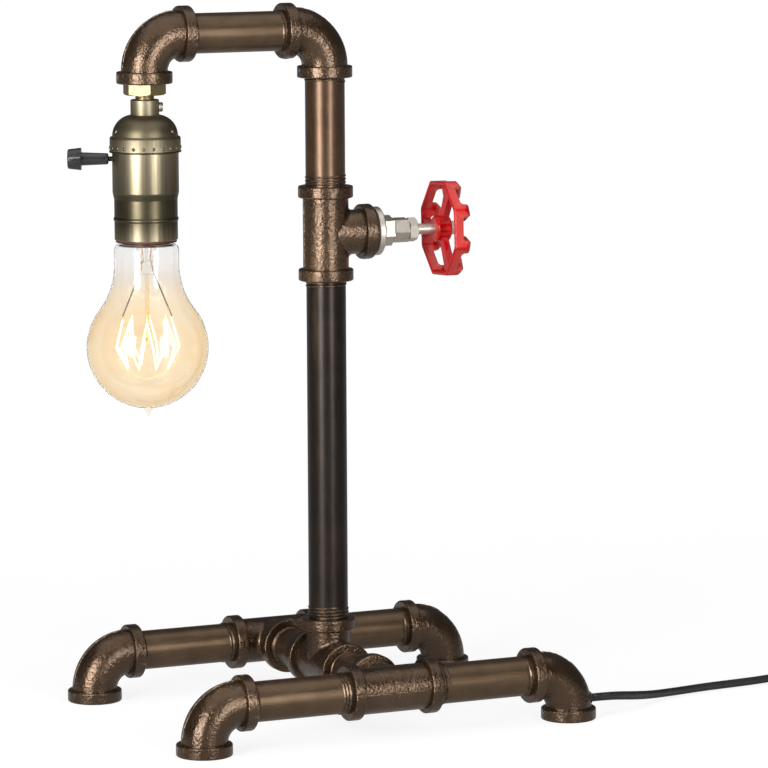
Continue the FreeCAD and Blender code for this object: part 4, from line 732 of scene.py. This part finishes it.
def make_stage():
    """A pale floor that keeps the lamp's shadow; far away it reads as a white background."""
    mesh = bpy.data.meshes.new("floor")
    mesh.from_pydata([(-30, -20, 0), (30, -20, 0), (30, 40, 0), (-30, 40, 0)], [], [(0, 1, 2, 3)])
    floor = bpy.data.objects.new("floor", mesh)
    bpy.context.scene.collection.objects.link(floor)
    material = bpy.data.materials.new("floor")
    material.use_nodes = True
    tree = material.node_tree
    tree.nodes.clear()
    out = tree.nodes.new("ShaderNodeOutputMaterial")
    both = tree.nodes.new("ShaderNodeAddShader")
    plain = tree.nodes.new("ShaderNodeBsdfDiffuse")
    plain.inputs["Color"].default_value = (FLOOR_GREY, FLOOR_GREY, FLOOR_GREY, 1)
    glow = tree.nodes.new("ShaderNodeEmission")
    seen, path = seen_directly(tree)
    glossy = level_for(tree, path.outputs["Is Glossy Ray"], 0.0, FLOOR_IN_GLOSS)
    place = tree.nodes.new("ShaderNodeTexCoord")
    far = tree.nodes.new("ShaderNodeVectorMath")
    far.operation = "LENGTH"
    tree.links.new(place.outputs["Object"], far.inputs[0])
    reach = tree.nodes.new("ShaderNodeMapRange")
    for socket, value in BACKDROP:
        reach.inputs[socket].default_value = value
    tree.links.new(far.outputs["Value"], reach.inputs["Value"])
    shown = tree.nodes.new("ShaderNodeMath")
    shown.operation = "MULTIPLY"
    tree.links.new(seen, shown.inputs[0])
    tree.links.new(reach.outputs["Result"], shown.inputs[1])
    strength = tree.nodes.new("ShaderNodeMath")
    strength.operation = "MAXIMUM"
    tree.links.new(glossy, strength.inputs[0])
    tree.links.new(shown.outputs[0], strength.inputs[1])
    tree.links.new(strength.outputs[0], glow.inputs["Strength"])
    tree.links.new(plain.outputs[0], both.inputs[0])
    tree.links.new(glow.outputs[0], both.inputs[1])
    tree.links.new(both.outputs[0], out.inputs["Surface"])
    mesh.materials.append(material)


def make_world():
    world = bpy.data.worlds.new("studio")
    bpy.context.scene.world = world
    world.use_nodes = True
    tree = world.node_tree
    background = tree.nodes["Background"]
    background.inputs["Color"].default_value = (1, 1, 1, 1)
    seen, _ = seen_directly(tree)
    tree.links.new(level_for(tree, seen, ROOM_LIGHT, ROOM_SEEN), background.inputs["Strength"])


def softbox(name, azimuth, elevation, width, height, power):
    """An area lamp on a sphere round the lamp; azimuth 0 is the front, positive to the right."""
    data = bpy.data.lights.new(name, "AREA")
    data.shape = "RECTANGLE"
    data.size, data.size_y = width, height
    data.energy = power
    lamp = bpy.data.objects.new(name, data)
    bpy.context.scene.collection.objects.link(lamp)
    a, e = math.radians(azimuth), math.radians(elevation)
    offset = Vector((math.sin(a) * math.cos(e), -math.cos(a) * math.cos(e), math.sin(e))) * LIGHT_DISTANCE
    lamp.location = Vector(LIGHT_AIM) + offset
    lamp.rotation_euler = (-offset).to_track_quat("-Z", "Y").to_euler()


def make_lights():
    """Two tall softboxes, one on each side of the camera at its own height, and a weak one overhead."""
    softbox("key_left", -57, 8, 0.55, 1.0, 26)
    softbox("key_right", 8, 8, 0.40, 1.0, 13)
    softbox("overhead", -25, 80, 2.6, 2.2, 16)


# ---------------------------------------------------------------- the whole scene

def dress(material, *names):
    for name in names:
        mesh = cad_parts[name].data
        mesh.materials.clear()
        mesh.materials.append(material)


def main():
    bpy.context.scene.view_settings.view_transform = "Standard"
    make_camera()
    cord_black = moulded("cord_black", (0.012, 0.012, 0.013), (0.026, 0.026, 0.027), 0.38, 500, 0.00005, 0.1)
    make_cord(cord_black)
    make_stage()
    make_world()
    make_lights()

    bronze = cast_bronze()
    # One brown paint in three copies, one for each direction of the draw marks. Their tints differ as painted light
    # and shade: the level pipes along X lighter, those along Y and the upright one darker.
    brown_x = drawn_pipe("brown_pipe_x", "X", (0.115, 0.072, 0.040), (0.175, 0.112, 0.064))
    brown_y = drawn_pipe("brown_pipe_y", "Y", (0.090, 0.055, 0.035), (0.140, 0.090, 0.056))
    brown_z = drawn_pipe("brown_pipe_z", "Z", (0.090, 0.048, 0.026), (0.145, 0.084, 0.047))
    dark_z = drawn_pipe("dark_pipe_z", "Z", (0.018, 0.012, 0.009), (0.034, 0.023, 0.017))
    sides = [(fb, lr) for fb in ("front", "rear") for lr in ("left", "right")]
    dress(bronze, *[f"foot_elbow_{fb}_{lr}" for fb, lr in sides], "rail_tee_front", "rail_tee_rear", "base_tee",
          "column_tee", "column_elbow", "drop_elbow")
    dress(brown_x, *[f"rail_nipple_{fb}_{lr}" for fb, lr in sides], "arm_nipple")
    dress(brown_y, "cross_nipple_front", "cross_nipple_rear")
    dress(brown_z, "upper_nipple")
    dress(dark_z, "column_pipe")
    nickel = bright_metal("nickel", (0.60, 0.55, 0.48), (0.76, 0.71, 0.63), 0.38)
    brass = bright_metal("polished_brass", (0.28, 0.215, 0.115), (0.39, 0.31, 0.175), 0.42)
    dull_brass = bright_metal("sheet_brass", (0.50, 0.38, 0.18), (0.66, 0.50, 0.26), 0.32)
    solder = bright_metal("solder", (0.40, 0.40, 0.42), (0.60, 0.60, 0.62), 0.35)
    dress(nickel, "valve_bonnet", "packing_nut", "valve_stem", "hub_set_screw", "wheel_nut")
    dress(brass, "hex_bushing", "neck_tube")
    dress(dull_brass, "valve_disc", "screw_shell", "centre_contact", "terminal_screw_live",
          "bulb_cap", "plug_blades")
    # Painted shade: the knob's brass shaft is tinted almost black, standing for the shade in the gap round it.
    dress(bright_metal("brass_in_painted_shade", (0.030, 0.024, 0.016), (0.060, 0.046, 0.028), 0.40), "knob_shaft")
    dress(solder, "terminal_screw_neutral", "bulb_contact")
    wire = bright_metal("wire_steel", (0.060, 0.054, 0.050), (0.14, 0.13, 0.12), 0.42)
    dress(wire, "support_wires")
    satin = bronzed_brass("bronzed_brass", (0.076, 0.064, 0.039), (0.115, 0.097, 0.060), 0.35)
    dress(satin, "holder_shell")
    # A rougher copy of the bronzed brass with a lighter tint than the shell's: the matt finish is real, the lighter
    # tint is painted light on the dome and hub.
    matt_painted_lighter = bronzed_brass("bronzed_cap", (0.150, 0.126, 0.080), (0.215, 0.183, 0.118), 0.46)
    dress(matt_painted_lighter, "holder_hub", "holder_cap")
    dress(moulded("liner_red", (0.070, 0.012, 0.010), (0.13, 0.022, 0.018), 0.6), "holder_liner")
    dress(moulded("bakelite", (0.012, 0.011, 0.012), (0.030, 0.028, 0.030), 0.22, 700, 0.00003, 0.4),
          "switch_base", "switch_cam", "switch_knob", "bulb_insulator")
    dress(moulded("packing", (0.05, 0.045, 0.04), (0.09, 0.08, 0.07), 0.8), "gland_packing", "cord_grommet")
    dress(cord_black, "plug_body")
    dress(red_enamel(), "handwheel")
    bulb_middle = (HOLDER_X * MM, 0.0, 0.204)
    dress(blown_glass("amber_glass", (0.90, 0.825, 0.70), (0.84, 0.72, 0.54), 1.10, 0.7, bulb_middle), "bulb_glass")
    dress(blown_glass("clear_glass", (0.97, 0.97, 0.96), (0.80, 0.79, 0.77), 1.25), "bulb_stem")
    dress(blown_glass("rod_glass", (0.95, 0.80, 0.50), (0.85, 0.62, 0.30), 1.2), "bulb_rod")
    dress(hot_wire(), "filament")

    pipe_threads(thread_metal(), brass)
    screw_threads(dull_brass, cap_brass(), nickel)
    casting_seams(bronze)
    holder_details(satin)
    bulb_leads(bright_metal("copper_leads", (0.42, 0.20, 0.09), (0.60, 0.32, 0.16), 0.36))


main()
